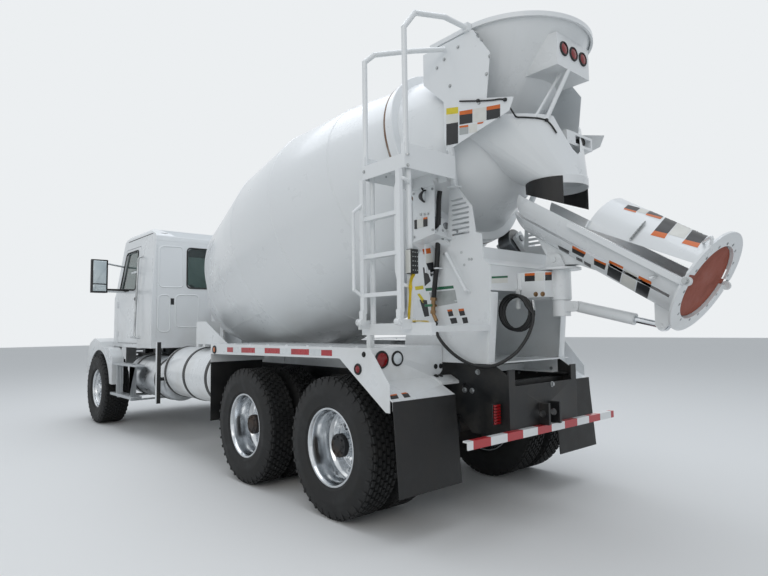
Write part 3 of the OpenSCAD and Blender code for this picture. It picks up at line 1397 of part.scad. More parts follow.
frame();
rear_frame();
rear_bar();
suspension();
front_axle();
drive_axles();
engine();
front_bumper();
knuckle_left();
knuckle_right();
tie_rod();
tyre_front_left();
rim_front_left();
tyre_front_right();
rim_front_right();
tyres_fore_left();
rims_fore_left();
tyres_fore_right();
rims_fore_right();
tyres_aft_left();
rims_aft_left();
tyres_aft_right();
rims_aft_right();
cab_floor();
cab_back();
cab_roof();
cab_sides();
cab_glass();
seats();
dash();
door_left();
door_right();
door_glass_left();
door_glass_right();
hood();
grille();
fuel_tank();
water_tank();
tank_mounts();
side_steps();
subframe();
fenders();
rubber_flaps();
drum();
rear_pedestal();
roller_left();
roller_right();
charge_hopper();
collector();
platform();
ladder();
lamps();
swing_arm();
chute();
fold_chute();
chute_cover();
lift_barrel();
lift_rod();
hose_lead();
hose_coil();
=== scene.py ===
import json
import math

import bmesh
import bpy
from mathutils import Matrix, Vector
from mathutils.bvhtree import BVHTree


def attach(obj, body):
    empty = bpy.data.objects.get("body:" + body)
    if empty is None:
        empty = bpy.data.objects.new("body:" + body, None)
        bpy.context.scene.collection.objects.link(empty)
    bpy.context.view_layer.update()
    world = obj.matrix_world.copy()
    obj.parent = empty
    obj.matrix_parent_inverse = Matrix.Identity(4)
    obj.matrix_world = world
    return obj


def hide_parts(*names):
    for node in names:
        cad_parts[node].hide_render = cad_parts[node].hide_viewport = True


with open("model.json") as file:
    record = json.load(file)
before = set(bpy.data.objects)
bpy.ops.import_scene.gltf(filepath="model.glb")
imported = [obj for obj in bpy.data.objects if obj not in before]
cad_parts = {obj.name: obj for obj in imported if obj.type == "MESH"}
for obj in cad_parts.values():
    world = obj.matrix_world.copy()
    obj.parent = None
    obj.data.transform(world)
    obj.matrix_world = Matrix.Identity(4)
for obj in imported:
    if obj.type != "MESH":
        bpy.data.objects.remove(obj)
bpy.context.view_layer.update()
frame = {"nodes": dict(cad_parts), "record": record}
nodes = frame["nodes"]
scene = bpy.context.scene
axleBehind = 2.33  # the rearmost axle lies this far behind the model's middle


def mm(x, y, z):
    return Vector((x / 1000 - axleBehind, y / 1000, z / 1000))


# Camera, lights and stage
print("camera and stage")
camera = {"at": (-3561, 3745, 1429), "yaw": -41.09, "pitch": 4.06, "roll": -0.75, "lens": 26.44,
          "sensor": 36, "frame": (768, 576), "farthest": 400}
yaw, pitch, roll = (math.radians(camera[k]) for k in ("yaw", "pitch", "roll"))
ahead = Vector((math.cos(yaw) * math.cos(pitch), math.sin(yaw) * math.cos(pitch), math.sin(pitch)))
level = Vector((math.sin(yaw), -math.cos(yaw), 0))
above = level.cross(ahead)
right = level * math.cos(roll) + above * math.sin(roll)
above = above * math.cos(roll) - level * math.sin(roll)
cameraData = bpy.data.cameras.new("camera")
cameraData.lens = camera["lens"]
cameraData.clip_end = camera["farthest"]
cameraObject = bpy.data.objects.new("camera", cameraData)
scene.collection.objects.link(cameraObject)
turned = Matrix((right, above, -ahead)).transposed().to_4x4()
cameraPlace = mm(*camera["at"])
cameraObject.matrix_world = Matrix.Translation(cameraPlace) @ turned
scene.camera = cameraObject


def placed(at, degrees, axis):
    return Matrix.Translation(mm(*at)) @ Matrix.Rotation(math.radians(degrees), 4, axis)


def toLinear(code):
    parts = [int(code[i:i + 2], 16) / 255 for i in (1, 3, 5)]
    return tuple(v / 12.92 if v <= 0.04045 else ((v + 0.055) / 1.055) ** 2.4 for v in parts) + (1.0,)


def addNode(tree, kind, links=(), **settings):
    node = tree.nodes.new("ShaderNode" + kind)
    for key, value in settings.items():
        if hasattr(node, key):
            setattr(node, key, value)
        else:
            name = int(key[2:]) if key[:2] == "in" and key[2:].isdigit() else key.replace("_", " ")
            node.inputs[name].default_value = value
    for socket, source in links:
        # a node stands for its first output
        tree.links.new(source.outputs[0] if hasattr(source, "outputs") else source, node.inputs[socket])
    return node


def newMaterial(name, colour, roughness, metallic=0.0, **sockets):
    material = bpy.data.materials.new(name)
    material.use_nodes = True
    tree = material.node_tree
    shader = tree.nodes["Principled BSDF"]
    shader.inputs["Base Color"].default_value = toLinear(colour)
    shader.inputs["Roughness"].default_value = roughness
    shader.inputs["Metallic"].default_value = metallic
    for key, value in sockets.items():
        shader.inputs[key.replace("_", " ")].default_value = value
    material.diffuse_color = toLinear(colour)
    place = addNode(tree, "TexCoord")
    return material, tree, shader, place.outputs["Object"]


stage = {"floor": "#e9e9e7", "backdrop": "#eceff1", "sky": "#dfe6ee", "skyStrength": 0.62, "size": 60,
         "drop": 0.001,
         "lamps": [("skyPanel", (0, 0, 11), (0, 0, 0), (16, 9), 620, "#f4f8ff"),
                   ("sidePanel", (-7, 9, 6), (0, 0, 1.5), (9, 5), 170, "#fff8f0")]}
world = bpy.data.worlds.new("softSky")
scene.world = world
world.use_nodes = True
worldTree = world.node_tree
rays = addNode(worldTree, "LightPath")
seen = rays.outputs["Is Camera Ray"]
for ray in ("Is Glossy Ray", "Is Transmission Ray"):
    seen = addNode(worldTree, "Math", [(0, seen), (1, rays.outputs[ray])], operation="MAXIMUM").outputs[0]
lighting = worldTree.nodes["Background"]
lighting.inputs["Color"].default_value = toLinear(stage["sky"])
lighting.inputs["Strength"].default_value = stage["skyStrength"]
shown = addNode(worldTree, "Background", Color=toLinear(stage["backdrop"]), Strength=1.0)
chosen = addNode(worldTree, "MixShader", [(0, seen), (1, lighting), (2, shown)])
worldTree.links.new(chosen.outputs[0], worldTree.nodes["World Output"].inputs["Surface"])


def addLamp(name, place, target, size, power, colour):
    data = bpy.data.lights.new(name, "AREA")
    data.shape = "RECTANGLE"
    data.size, data.size_y = size
    data.energy = power
    data.color = toLinear(colour)[:3]
    lamp = bpy.data.objects.new(name, data)
    lamp.location = place
    lamp.rotation_euler = (Vector(target) - Vector(place)).to_track_quat("-Z", "Y").to_euler()
    scene.collection.objects.link(lamp)


for row in stage["lamps"]:
    addLamp(*row)

bm = bmesh.new()
bmesh.ops.create_grid(bm, x_segments=1, y_segments=1, size=stage["size"])
bmesh.ops.translate(bm, vec=(0, 0, -stage["drop"]), verts=bm.verts)
floorMesh = bpy.data.meshes.new("floor")
bm.to_mesh(floorMesh)
bm.free()
floorMesh.materials.append(newMaterial("paleFloor", stage["floor"], 0.9)[0])
floor = bpy.data.objects.new("floor", floorMesh)
scene.collection.objects.link(floor)
scene.view_settings.view_transform = "Standard"

# Finishes
print("finishes")
# the white, and a second greyer, browner tone that is mixed in patches, most towards the bottom
paint = {"tone": "#e3e6e7", "tintPatch": "#b7b2a8", "tintGoneAbove": 1.9, "tintFullBelow": 0.5, "tintMost": 0.62}


def paintWhite():
    # two-pack polyurethane truck enamel: even and glossy, its colour greyer and browner in patches towards
    # the bottom, with faint waves of the sheet
    material, tree, shader, place = newMaterial("whiteEnamel", paint["tone"], 0.3, Coat_Weight=0.35,
                                                Coat_Roughness=0.12)
    tintPatch = addNode(tree, "TexNoise", [("Vector", place)], Scale=2.3, Detail=8.0, Roughness=0.62)
    split = addNode(tree, "SeparateXYZ", [(0, place)])
    # the second tone is mixed in most at the bottom and fades out going up, only where the patches are
    low = addNode(tree, "MapRange", [("Value", split.outputs["Z"])], in1=paint["tintFullBelow"],
                  in2=paint["tintGoneAbove"], in3=paint["tintMost"], in4=0.0)
    patch = addNode(tree, "MapRange", [("Value", tintPatch)], in1=0.42, in2=0.75, in3=0.0, in4=1.0)
    amount = addNode(tree, "Math", [(0, low), (1, patch)], operation="MULTIPLY")
    mixed = addNode(tree, "Mix", [(0, amount)], data_type="RGBA", A=toLinear(paint["tone"]),
                    B=toLinear(paint["tintPatch"]))
    tree.links.new(mixed.outputs["Result"], shader.inputs["Base Color"])
    rough = addNode(tree, "MapRange", [("Value", tintPatch)], in1=0.3, in2=0.8, in3=0.24, in4=0.42)
    tree.links.new(rough.outputs[0], shader.inputs["Roughness"])
    wave = addNode(tree, "TexNoise", [("Vector", place)], Scale=3.5, Detail=1.0)
    bump = addNode(tree, "Bump", [("Height", wave)], Strength=0.25, Distance=0.004)
    tree.links.new(bump.outputs[0], shader.inputs["Normal"])
    return material


def speckled(name, colour, worn, roughness, metallic=0.0, grain=200.0, depth=0.0002, blend=(0.45, 0.72),
             **sockets):
    # a base finish with a second tone of wear or dust in patches, and a fine grain in the surface
    material, tree, shader, place = newMaterial(name, colour, roughness, metallic, **sockets)
    patch = addNode(tree, "TexNoise", [("Vector", place)], Scale=6.0, Detail=9.0, Roughness=0.65)
    shift = addNode(tree, "MapRange", [("Value", patch)], in1=blend[0], in2=blend[1])
    mixed = addNode(tree, "Mix", [(0, shift)], data_type="RGBA", A=toLinear(colour),
                    B=toLinear(worn))
    tree.links.new(mixed.outputs["Result"], shader.inputs["Base Color"])
    rough = addNode(tree, "MapRange", [("Value", patch)], in1=0.3, in2=0.75,
                    in3=roughness * 0.82, in4=min(1.0, roughness * 1.3))
    tree.links.new(rough.outputs[0], shader.inputs["Roughness"])
    fine = addNode(tree, "TexNoise", [("Vector", place)], Scale=grain, Detail=4.0)
    bump = addNode(tree, "Bump", [("Height", fine)], Strength=0.5, Distance=depth)
    tree.links.new(bump.outputs[0], shader.inputs["Normal"])
    return material


def gripPlate(pitch):
    # rolled aluminium with raised round grips, a pitch apart: a bright field that breaks up what it mirrors
    material, tree, shader, place = newMaterial("aluminiumGripPlate", "#b9bdc0", 0.36, 1.0)
    split = addNode(tree, "SeparateXYZ", [(0, place)])
    waves = []
    for axis in (0, 1):
        scaled = addNode(tree, "Math", [(0, split.outputs[axis])], operation="MULTIPLY",
                         in1=math.tau / (2 * pitch))
        waves.append(addNode(tree, "Math", [(0, scaled)], operation="SINE"))
    studs = addNode(tree, "Math", [(0, waves[0]), (1, waves[1])], operation="MULTIPLY")
    raised = addNode(tree, "Math", [(0, studs)], operation="ABSOLUTE")
    edge = addNode(tree, "MapRange", [("Value", raised)], in1=0.45, in2=0.75)
    bump = addNode(tree, "Bump", [("Height", edge)], Strength=0.9, Distance=0.003)
    tree.links.new(bump.outputs[0], shader.inputs["Normal"])
    grime = addNode(tree, "TexNoise", [("Vector", place)], Scale=14.0, Detail=8.0)
    rough = addNode(tree, "MapRange", [("Value", grime)], in1=0.35, in2=0.7, in3=0.3, in4=0.55)
    tree.links.new(rough.outputs[0], shader.inputs["Roughness"])
    return material


def windowGlass():
    # tempered float glass with a green tint, made darker as painted shade for the dim cab behind it: mirrors
    # the sky, shows the cab behind
    material, tree, shader, place = newMaterial("temperedGlass", "#7d8f8c", 0.02, Transmission_Weight=0.92,
                                                IOR=1.45)
    film = addNode(tree, "TexNoise", [("Vector", place)], Scale=9.0, Detail=5.0)
    rough = addNode(tree, "MapRange", [("Value", film)], in1=0.4, in2=0.8, in3=0.01, in4=0.09)
    tree.links.new(rough.outputs[0], shader.inputs["Roughness"])
    return material


def stripedTape(name, first, second, pitch):
    # retroreflective film: glass-bead honeycomb under a clear skin, in stripes across a strip
    material, tree, shader, place = newMaterial(name, first, 0.32, Coat_Weight=0.5, Coat_Roughness=0.08)
    split = addNode(tree, "SeparateXYZ", [(0, place)])
    scaled = addNode(tree, "Math", [(0, split.outputs["Y"])], operation="MULTIPLY", in1=1 / pitch)
    part = addNode(tree, "Math", [(0, scaled)], operation="FRACT")
    side = addNode(tree, "Math", [(0, part)], operation="GREATER_THAN", in1=0.5)
    mixed = addNode(tree, "Mix", [(0, side)], data_type="RGBA", A=toLinear(first),
                    B=toLinear(second))
    tree.links.new(mixed.outputs["Result"], shader.inputs["Base Color"])
    cells = addNode(tree, "TexVoronoi", [("Vector", place)], feature="DISTANCE_TO_EDGE", Scale=260.0)
    bump = addNode(tree, "Bump", [("Height", cells)], Strength=0.3, Distance=0.0004)
    tree.links.new(bump.outputs[0], shader.inputs["Normal"])
    return material


enamel = paintWhite()
checkerPlate = gripPlate(0.022)
tempered = windowGlass()
barTape = stripedTape("reflectiveTapeBar", "#b5222b", "#e6e8e8", 0.36)
# black enamel and scaled iron: dull, with brown dust in patches
chassisBlack = speckled("chassisBlackEnamel", "#141618", "#2f2d2a", 0.42, grain=90.0, depth=0.0006)
forgedIron = speckled("forgedIronBlack", "#1d1e20", "#3a332c", 0.6, grain=140.0, depth=0.0012)
castIron = speckled("castIronHub", "#3a3b3d", "#5b4a3c", 0.62, 0.6, grain=160.0, depth=0.0012)
# bright metals: polished, rolled, plated and machined, each rougher where it is worn
forgedAluminium = speckled("polishedForgedAluminium", "#d3d6d9", "#b4b8bb", 0.15, 1.0, grain=220.0,
                           depth=0.0001)
rolledSheet = speckled("rolledAluminiumSheet", "#c8cbce", "#a5a8aa", 0.3, 1.0, grain=180.0)
chromePlate = speckled("chromePlatedSteel", "#dfe2e5", "#c3c7cb", 0.07, 1.0, grain=240.0, depth=0.00005)
zincSteel = speckled("zincPlatedSteel", "#b9bcbd", "#8d9091", 0.34, 1.0)
rolledSteel = speckled("machinedRollerSteel", "#8d9194", "#5f5a55", 0.38, 1.0, grain=120.0, depth=0.0003)
brass = speckled("machinedBrass", "#94795a", "#6f563c", 0.42, 1.0)
mirrorSilver = speckled("silveredMirrorGlass", "#c9d2d4", "#bcc5c8", 0.03, 1.0, grain=4.0, depth=0.00002)
rustFilm = speckled("rustedTrackLine", "#6b4a33", "#a59c92", 0.7, 0.2, grain=90.0, depth=0.0006)
# rubbers, plastics and cloth: dark and soft in the light, with a moulded or woven grain
tyreRubber = speckled("tyreRubber", "#191a1b", "#302f2d", 0.72, grain=110.0, depth=0.0008, blend=(0.5, 0.8))
sheetRubber = speckled("mudFlapRubber", "#121314", "#262524", 0.55, grain=70.0, depth=0.0007)
hoseRubber = speckled("hydraulicHoseRubber", "#0f1011", "#1f1f1f", 0.5, grain=300.0, depth=0.0004)
gasket = speckled("extrudedWindowRubber", "#101112", "#1b1c1c", 0.6, grain=240.0, depth=0.0003)
moulded = speckled("mouldedBlackPlastic", "#17181a", "#232426", 0.5, grain=260.0, depth=0.0005)
urethane = speckled("castUrethane", "#8c3206", "#752a06", 0.5, grain=40.0, depth=0.0010)
weave = speckled("wovenSeatCloth", "#2b2d31", "#1f2124", 0.9, grain=420.0, depth=0.0010, Sheen_Weight=0.3)
yellowWeb = speckled("yellowPolyesterWebbing", "#d3b51f", "#b59a17", 0.7, grain=300.0, depth=0.0006)
# lenses: a clear coat over moulded colour
amberLens = speckled("amberLens", "#c4641a", "#a85212", 0.15, grain=300.0, Coat_Weight=0.6)
redLens = speckled("redAcrylicLens", "#8a060e", "#6d040b", 0.22, grain=420.0, depth=0.0004,
                   Coat_Weight=0.15)
clearLens = speckled("clearAcrylicLens", "#dfe4e6", "#c9cfd2", 0.1, grain=300.0, depth=0.0003,
                     Coat_Weight=0.6)
# films: plain vinyl with a soft gloss, and bright tape under a clear coat
vinylTones = {"black": ("#1a1b1d", "#2a2b2d"), "orange": ("#d2671f", "#bd5a19"),
              "pale": ("#dcdcd6", "#cfcfc8"),
              "yellow": ("#d9c62e", "#c4b228"), "green": ("#1f6a49", "#1a5a3e"),
              "grey": ("#a9adac", "#8f9492")}
tapeTones = {"silver": ("#dfe3e4", "#c9cecf"), "red": ("#b3202a", "#9a1a23")}
filmFinish = {word: speckled("vinylFilm" + word.title(), *tones, 0.35, depth=0.0001)
              for word, tones in vinylTones.items()}
for word, tones in tapeTones.items():
    filmFinish[word] = speckled("reflectiveFilm" + word.title(), *tones, 0.28, grain=260.0, depth=0.0003,
                                Coat_Weight=0.5)

bodyOf = {node: body for body, held in frame["record"]["behaviour"]["bodies"].items() for node in held}
slotOf = {entry["node"]: entry["material_slot"] for entry in frame["record"]["subparts"]}
sides = ((1, "left"), (-1, "right"))


def meshOf(bm, name):
    mesh = bpy.data.meshes.new(name)
    bm.to_mesh(mesh)
    bm.free()
    return mesh


def finish(bm, name, material, body="root", slotName="black_paint", replaced=(), angle=35.0, bevel=0.0):
    # the bmesh becomes a piece on its body: shaded smooth up to the angle, with its sharper edges eased
    mesh = meshOf(bm, name)
    mesh.polygons.foreach_set("use_smooth", [True] * len(mesh.polygons))
    mesh.set_sharp_from_angle(angle=math.radians(angle))
    mesh.materials.append(material)
    piece = bpy.data.objects.new(name, mesh)
    scene.collection.objects.link(piece)
    if bevel:
        edge = piece.modifiers.new("edge", "BEVEL")
        edge.width = bevel
        edge.segments = 2
        edge.limit_method = "ANGLE"
        edge.angle_limit = math.radians(angle)
    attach(piece, body)
    if replaced:
        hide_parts(*replaced)
    return piece


def inside(spot, low, high):
    low, high = mm(*low), mm(*high)
    return all(low[i] <= spot[i] <= high[i] for i in range(3))


def refined(node, material, bevel=0.003, accents=(), leaveOut=None):
    # a merged copy of a CAD node, its flat faces joined and its edges eased; accents are (finish, low, high)
    bm = bmesh.new()
    bm.from_mesh(nodes[node].data)
    bmesh.ops.remove_doubles(bm, verts=bm.verts, dist=0.00002)
    bmesh.ops.dissolve_limit(bm, angle_limit=math.radians(0.6), verts=bm.verts, edges=bm.edges)
    if leaveOut:
        bmesh.ops.delete(bm, geom=[f for f in bm.faces if inside(f.calc_center_median(), *leaveOut)],
                         context="FACES")
        bmesh.ops.holes_fill(bm, edges=[e for e in bm.edges if e.is_boundary], sides=200)
    for number, (_, low, high) in enumerate(accents, 1):
        for face in bm.faces:
            if inside(face.calc_center_median(), low, high):
                face.material_index = number
    piece = finish(bm, node + "_skin", material, bodyOf[node], slotOf[node], [node], bevel=bevel)
    for accent in accents:
        piece.data.materials.append(accent[0])
    return piece


def addBox(bm, low, high):
    low, high = mm(*low), mm(*high)
    spread = Matrix.Diagonal((high - low).to_4d())
    spread[3][3] = 1
    bmesh.ops.create_cube(bm, size=1, matrix=Matrix.Translation((low + high) / 2) @ spread)


def aim(start, end):
    # the frame halfway between two points, its z axis along them, and their distance
    way = end - start
    return Matrix.Translation((start + end) / 2) @ way.to_track_quat("Z",
                                                                     "Y").to_matrix().to_4x4(), way.length


def addRod(bm, start, end, r, r2=None, steps=24):
    place, length = aim(start, end)
    bmesh.ops.create_cone(bm, cap_ends=True, segments=steps, radius1=r, radius2=r if r2 is None else r2,
                          depth=length, matrix=place)


def addBolt(bm, at, way, across, high):
    # hexagon head on a washer, seated on the surface at a point
    way = Vector(way).normalized()
    addRod(bm, at - way * 0.002, at + way * 0.003, across * 0.82, steps=16)
    addRod(bm, at, at + way * high, across * 0.58, steps=6)


def spun(bm, profile, place, steps=96):
    # profile [(radius, along)] turned a full circle about the place's z axis
    edge = [bm.verts.new(place @ Vector((r, 0, z))) for r, z in profile]
    lines = [bm.edges.new((a, b)) for a, b in zip(edge, edge[1:] + edge[:1])]
    bmesh.ops.spin(bm, geom=edge + lines, angle=math.tau, steps=steps, use_merge=True, use_duplicate=False,
                   axis=place.to_3x3() @ Vector((0, 0, 1)), cent=place.translation, dvec=(0, 0, 0))


def closeAndTurn(bm):
    bmesh.ops.remove_doubles(bm, verts=bm.verts, dist=0.00001)
    bmesh.ops.recalc_face_normals(bm, faces=bm.faces)


def addCopy(bm, shape, place):
    count = len(bm.verts)
    bm.from_mesh(shape)
    bmesh.ops.transform(bm, matrix=place, verts=bm.verts[count:])


def boxPiece(name, material, boxes, **rest):
    bm = bmesh.new()
    for low, high in boxes:
        addBox(bm, low, high)
    return finish(bm, name, material, **rest)


def boltPiece(name, material, bolts, **rest):
    # bolts are (place, outward direction, width across the flats, height)
    bm = bmesh.new()
    for bolt in bolts:
        addBolt(bm, *bolt)
    closeAndTurn(bm)
    return finish(bm, name, material, **rest)


def turnedPiece(name, material, profiles, place, steps, **rest):
    bm = bmesh.new()
    for profile in profiles:
        spun(bm, profile, place, steps)
    closeAndTurn(bm)
    return finish(bm, name, material, **rest)


def rounded(points, radius=3):
    # each corner of a path gives way to a short curve that starts at most the radius before it
    points = [Vector(p) for p in points]
    path = [points[0]]
    bendSteps = 6
    for before, corner, after in zip(points, points[1:], points[2:]):
        reach = min(radius, (before - corner).length * 0.45, (after - corner).length * 0.45)
        enter = corner + (before - corner).normalized() * reach
        leave = corner + (after - corner).normalized() * reach
        for i in range(bendSteps + 1):
            t = i / bendSteps
            path.append(enter * (1 - t) ** 2 + corner * 2 * t * (1 - t) + leave * t * t)
    path.append(points[-1])
    return path


def curvePiece(name, path, radius, material, body="root", steps=3):
    # a round bar, pipe or hose along a path in metres
    data = bpy.data.curves.new(name, "CURVE")
    data.dimensions = "3D"
    data.bevel_depth = radius
    data.bevel_resolution = steps
    data.use_fill_caps = True
    line = data.splines.new("POLY")
    line.points.add(len(path) - 1)
    for point, place in zip(line.points, path):
        point.co = (*place, 1)
    data.materials.append(material)
    piece = bpy.data.objects.new(name, data)
    scene.collection.objects.link(piece)
    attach(piece, body)
    return piece


def tube(name, points, radius, material, body="root", bend=3, steps=3):
    return curvePiece(name, rounded(points, bend), radius, material, body, steps)


# Seats: a moulded base each, and a sewn cushion and back filled until their covers are tight
print("seats")
seat = {"cushion": (0.42, 0.475, 0.12), "back": (0.105, 0.475, 0.59), "cushionAt": (5085, 560, 1512),
        "backAt": (4785, 560, 1838), "cushionTilt": -3.5, "backTilt": -12.5, "edgeRound": 0.34,
        "waist": 0.05,
        "cell": 0.011, "pressure": 4.0, "frames": 20, "cap": 0.012, "channels": (-0.14, 0.14),
        "channelDeep": 0.009, "channelWide": 0.011, "seamPull": 0.016, "seamWide": 0.007}
# each seat's moulded base: x and z of two corners, and half its width
seatBase = [(4842, 1241, 5198, 1300, 198), (4880, 1300, 5160, 1420, 138), (4850, 1418, 5190, 1446, 198)]


def applied(piece):
    # the piece's mesh with its modifiers gone into it
    piece.update_tag()
    mesh = bpy.data.meshes.new_from_object(piece.evaluated_get(bpy.context.evaluated_depsgraph_get()))
    piece.modifiers.clear()
    piece.data = mesh
    return mesh


def filledPad(name, size, thin):
    # a rounded block with an even mesh, filled by pressure up to a cap, then drawn in at its seams
    wide = {0, 1, 2} - {thin}
    bm = bmesh.new()
    bmesh.ops.create_cube(bm, size=1, matrix=Matrix.Diagonal((*size, 1)))
    bmesh.ops.bevel(bm, geom=bm.edges[:], offset=size[thin] * seat["edgeRound"], segments=5, profile=0.5,
                    affect="EDGES", material=-1)
    for v in bm.verts:
        # sides pulled in between the corners
        for axis in wide:
            across = 3 - thin - axis
            v.co[axis] *= 1 - seat["waist"] * (1 - (2 * v.co[across] / size[across]) ** 2)
    piece = bpy.data.objects.new(name, meshOf(bm, name))
    scene.collection.objects.link(piece)
    even = piece.modifiers.new("even", "REMESH")
    even.mode = "VOXEL"
    even.voxel_size = seat["cell"]
    mesh = applied(piece)
    start = [v.co.copy() for v in mesh.vertices]
    cloth = piece.modifiers.new("filling", "CLOTH")
    cloth.settings.use_pressure = True
    cloth.settings.uniform_pressure_force = seat["pressure"]
    cloth.settings.effector_weights.gravity = 0
    cloth.point_cache.frame_end = seat["frames"]
    for number in range(1, seat["frames"] + 1):
        scene.frame_set(number)
    mesh = applied(piece)
    for v, rest in zip(mesh.vertices, start):
        moved = v.co - rest
        if moved.length > seat["cap"]:
            v.co = rest + moved * (seat["cap"] / moved.length)
    scene.frame_set(1)
    for v in mesh.vertices:
        pull = sum(math.exp(-((v.co.y - line) / seat["channelWide"]) ** 2) for line in seat["channels"])
        edge = math.exp(-(v.co[thin] / seat["seamWide"]) ** 2)
        if abs(v.co[thin]) > size[thin] * 0.3:
            v.co[thin] -= math.copysign(seat["channelDeep"] * pull, v.co[thin])
        for axis in wide:
            v.co[axis] *= 1 - seat["seamPull"] * edge
    bpy.data.objects.remove(piece)
    return mesh


padShapes = {kind: filledPad(kind + "Shape", seat[kind], thin)
             for kind, thin in (("cushion", 2), ("back", 0))}
for side, sideName in sides:
    for kind, shape in padShapes.items():
        x, y, z = seat[kind + "At"]
        bm = bmesh.new()
        bm.from_mesh(shape)
        bmesh.ops.transform(bm, matrix=placed((x, side * y, z), seat[kind + "Tilt"], "Y"), verts=bm.verts)
        piece = finish(bm, f"seat{kind.title()}_{sideName}", weave, "root", "seat_fabric", ("seats",), 80)
        soft = piece.modifiers.new("soft", "SUBSURF")
        soft.levels = soft.render_levels = 1
seatMiddle = seat["cushionAt"][1]
boxPiece("seatBases", moulded, [((x0, side * seatMiddle - half, z0), (x1, side * seatMiddle + half, z1))
                                for side in (1, -1) for x0, z0, x1, z1, half in seatBase],
         slotName="seat_fabric", replaced=("seats",), bevel=0.008)

# Hoses: the lead from the valve to the hanger, and the coil that hangs there
print("hoses")


def smoothAt(points, i, q):
    # a smooth curve through all the points, at the share q of the way from point i to the next
    last = len(points) - 1
    before, here, after, far = points[max(i - 1, 0)], points[i], points[i + 1], points[min(i + 2, last)]
    return 0.5 * (2 * here + (after - before) * q + (2 * before - 5 * here + 4 * after - far) * q * q
                  + (3 * here - 3 * after + far - before) * q ** 3)


hose = {"radius": 0.0125, "route": [
    (-505, 540, 1470), (-503, 545, 1440), (-508, 548, 1405), (-530, 548, 1355), (-585, 546, 1295),
    (-660, 544, 1238), (-745, 541, 1190), (-835, 538, 1157), (-925, 532, 1142), (-1010, 510, 1148),
    (-1085, 460, 1185), (-1140, 395, 1245), (-1175, 335, 1325), (-1192, 290, 1405), (-1198, 262, 1480),
    (-1180, 245, 1550)],
    "coilAt": (-1035, 240, 1530), "coilTurns": 3, "coilRadius": 0.128, "coilPitch": 0.0262, "coilFrom": 172,
    "turnSteps": 24, "uneven": 0.004, "exit": (-505, 540, 1470),
    "nozzle": [(-0.004, 0.030, 0.0165, 6), (0.030, 0.060, 0.0125, 24), (0.060, 0.072, 0.0155, 24)]}


route = [mm(*p) for p in hose["route"]]
# the lead, less its last point, so that it runs evenly into the coil
hosePath = [smoothAt(route, i, k / 4) for i in range(len(route) - 1) for k in range(4)][:-1]
coilMiddle = mm(*hose["coilAt"])
for i in range(1, hose["turnSteps"] * hose["coilTurns"] + 1):
    turn = math.radians(hose["coilFrom"]) - math.tau * i / hose["turnSteps"]
    reach = hose["coilRadius"] + hose["uneven"] * math.sin(i * 0.31)
    away = hose["coilPitch"] * (hose["coilTurns"] / 2 - i / hose["turnSteps"])
    hosePath.append(coilMiddle + Vector((reach * math.cos(turn), away, reach * math.sin(turn))))
washHose = curvePiece("washHose", hosePath, hose["radius"], hoseRubber, steps=4)
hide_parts("hose_lead", "hose_coil")
tail = (hosePath[-1] - hosePath[-2]).normalized()
bm = bmesh.new()
for start, end, r, steps in hose["nozzle"]:
    addRod(bm, hosePath[-1] + tail * start, hosePath[-1] + tail * end, r, steps=steps)
nozzle = finish(bm, "washNozzle", zincSteel, slotName="bare_steel", bevel=0.001)

# CAD nodes that keep their shape: each gets a merged copy with eased edges and its own finish
print("panels")
skins = [
    ("frame", chassisBlack, 0.003), ("rear_frame", chassisBlack, 0.002), ("suspension", forgedIron, 0.003),
    ("front_axle", forgedIron, 0.005), ("drive_axles", forgedIron, 0.004), ("engine", rolledSteel, 0.006),
    ("front_bumper", chromePlate, 0.004), ("knuckle_left", forgedIron, 0.004),
    ("knuckle_right", forgedIron, 0.004),
    ("tie_rod", forgedIron, 0.002), ("cab_floor", enamel, 0.003), ("cab_back", enamel, 0.004),
    ("cab_roof", enamel, 0.006), ("cab_sides", enamel, 0.005), ("door_left", enamel, 0.004),
    ("door_right", enamel, 0.004), ("hood", enamel, 0.004), ("grille", chromePlate, 0.002),
    ("tank_mounts", chassisBlack, 0.002), ("side_steps", checkerPlate, 0.004), ("subframe", enamel, 0.003),
    ("fenders", enamel, 0.002), ("rubber_flaps", sheetRubber, 0.001), ("rear_pedestal", enamel, 0.002),
    ("roller_left", rolledSteel, 0.004), ("roller_right", rolledSteel, 0.004), ("collector", enamel, 0.002),
    ("charge_hopper", enamel, 0.002), ("platform", enamel, 0.002), ("ladder", enamel, 0.003),
    ("swing_arm", enamel, 0.003), ("chute", enamel, 0.0015), ("fold_chute", enamel, 0.0015),
    ("chute_cover", urethane, 0.002), ("lift_barrel", enamel, 0.002), ("lift_rod", chromePlate, 0.001),
    ("dash", moulded, 0.004), ("rear_bar", barTape, 0.001),
    ("cab_glass", tempered, 0.001), ("door_glass_left", tempered, 0.001),
    ("door_glass_right", tempered, 0.001),
]
accentsOf = {
    "door_left": [(moulded, (5200, 1375, 1985), (5400, 1630, 2485))],
    "door_right": [(moulded, (5200, -1630, 1985), (5400, -1375, 2485))],
    "tank_mounts": [(enamel, (3605, 1190, 520), (3675, 1250, 1300))]}
# two braces that the hung plate stands for
leftOut = {"platform": ((-880, 500, 2020), (-650, 740, 2494))}
for node, material, bevel in skins:
    refined(node, material, bevel, accentsOf.get(node, ()), leftOut.get(node))

# Wheels
print("wheels")
tyre = {"beadRadius": 0.286, "treadDepth": 0.017, "treadShare": 0.84, "slope": 0.0025, "steps": 108,
        "lugs": 36, "lugFrom": (0.058, 0.925), "lugTo": (0.016, 0.885), "lugSize": (0.012, 0.020)}
wheels = {"steer": {"radius": 0.536, "width": 0.389, "columns": 9, "groove": 0.004},
          "drive": {"radius": 0.532, "width": 0.279, "columns": 6, "groove": 0.0065}}
axles = [("front", 6245, (1094,)), ("aft", 0, (751, 1094)), ("fore", 1372, (751, 1094))]


def wheelFrame(x, y, z, side):
    # z axis outwards along the axle
    return placed((x, side * y, z), -90 * side, "X")


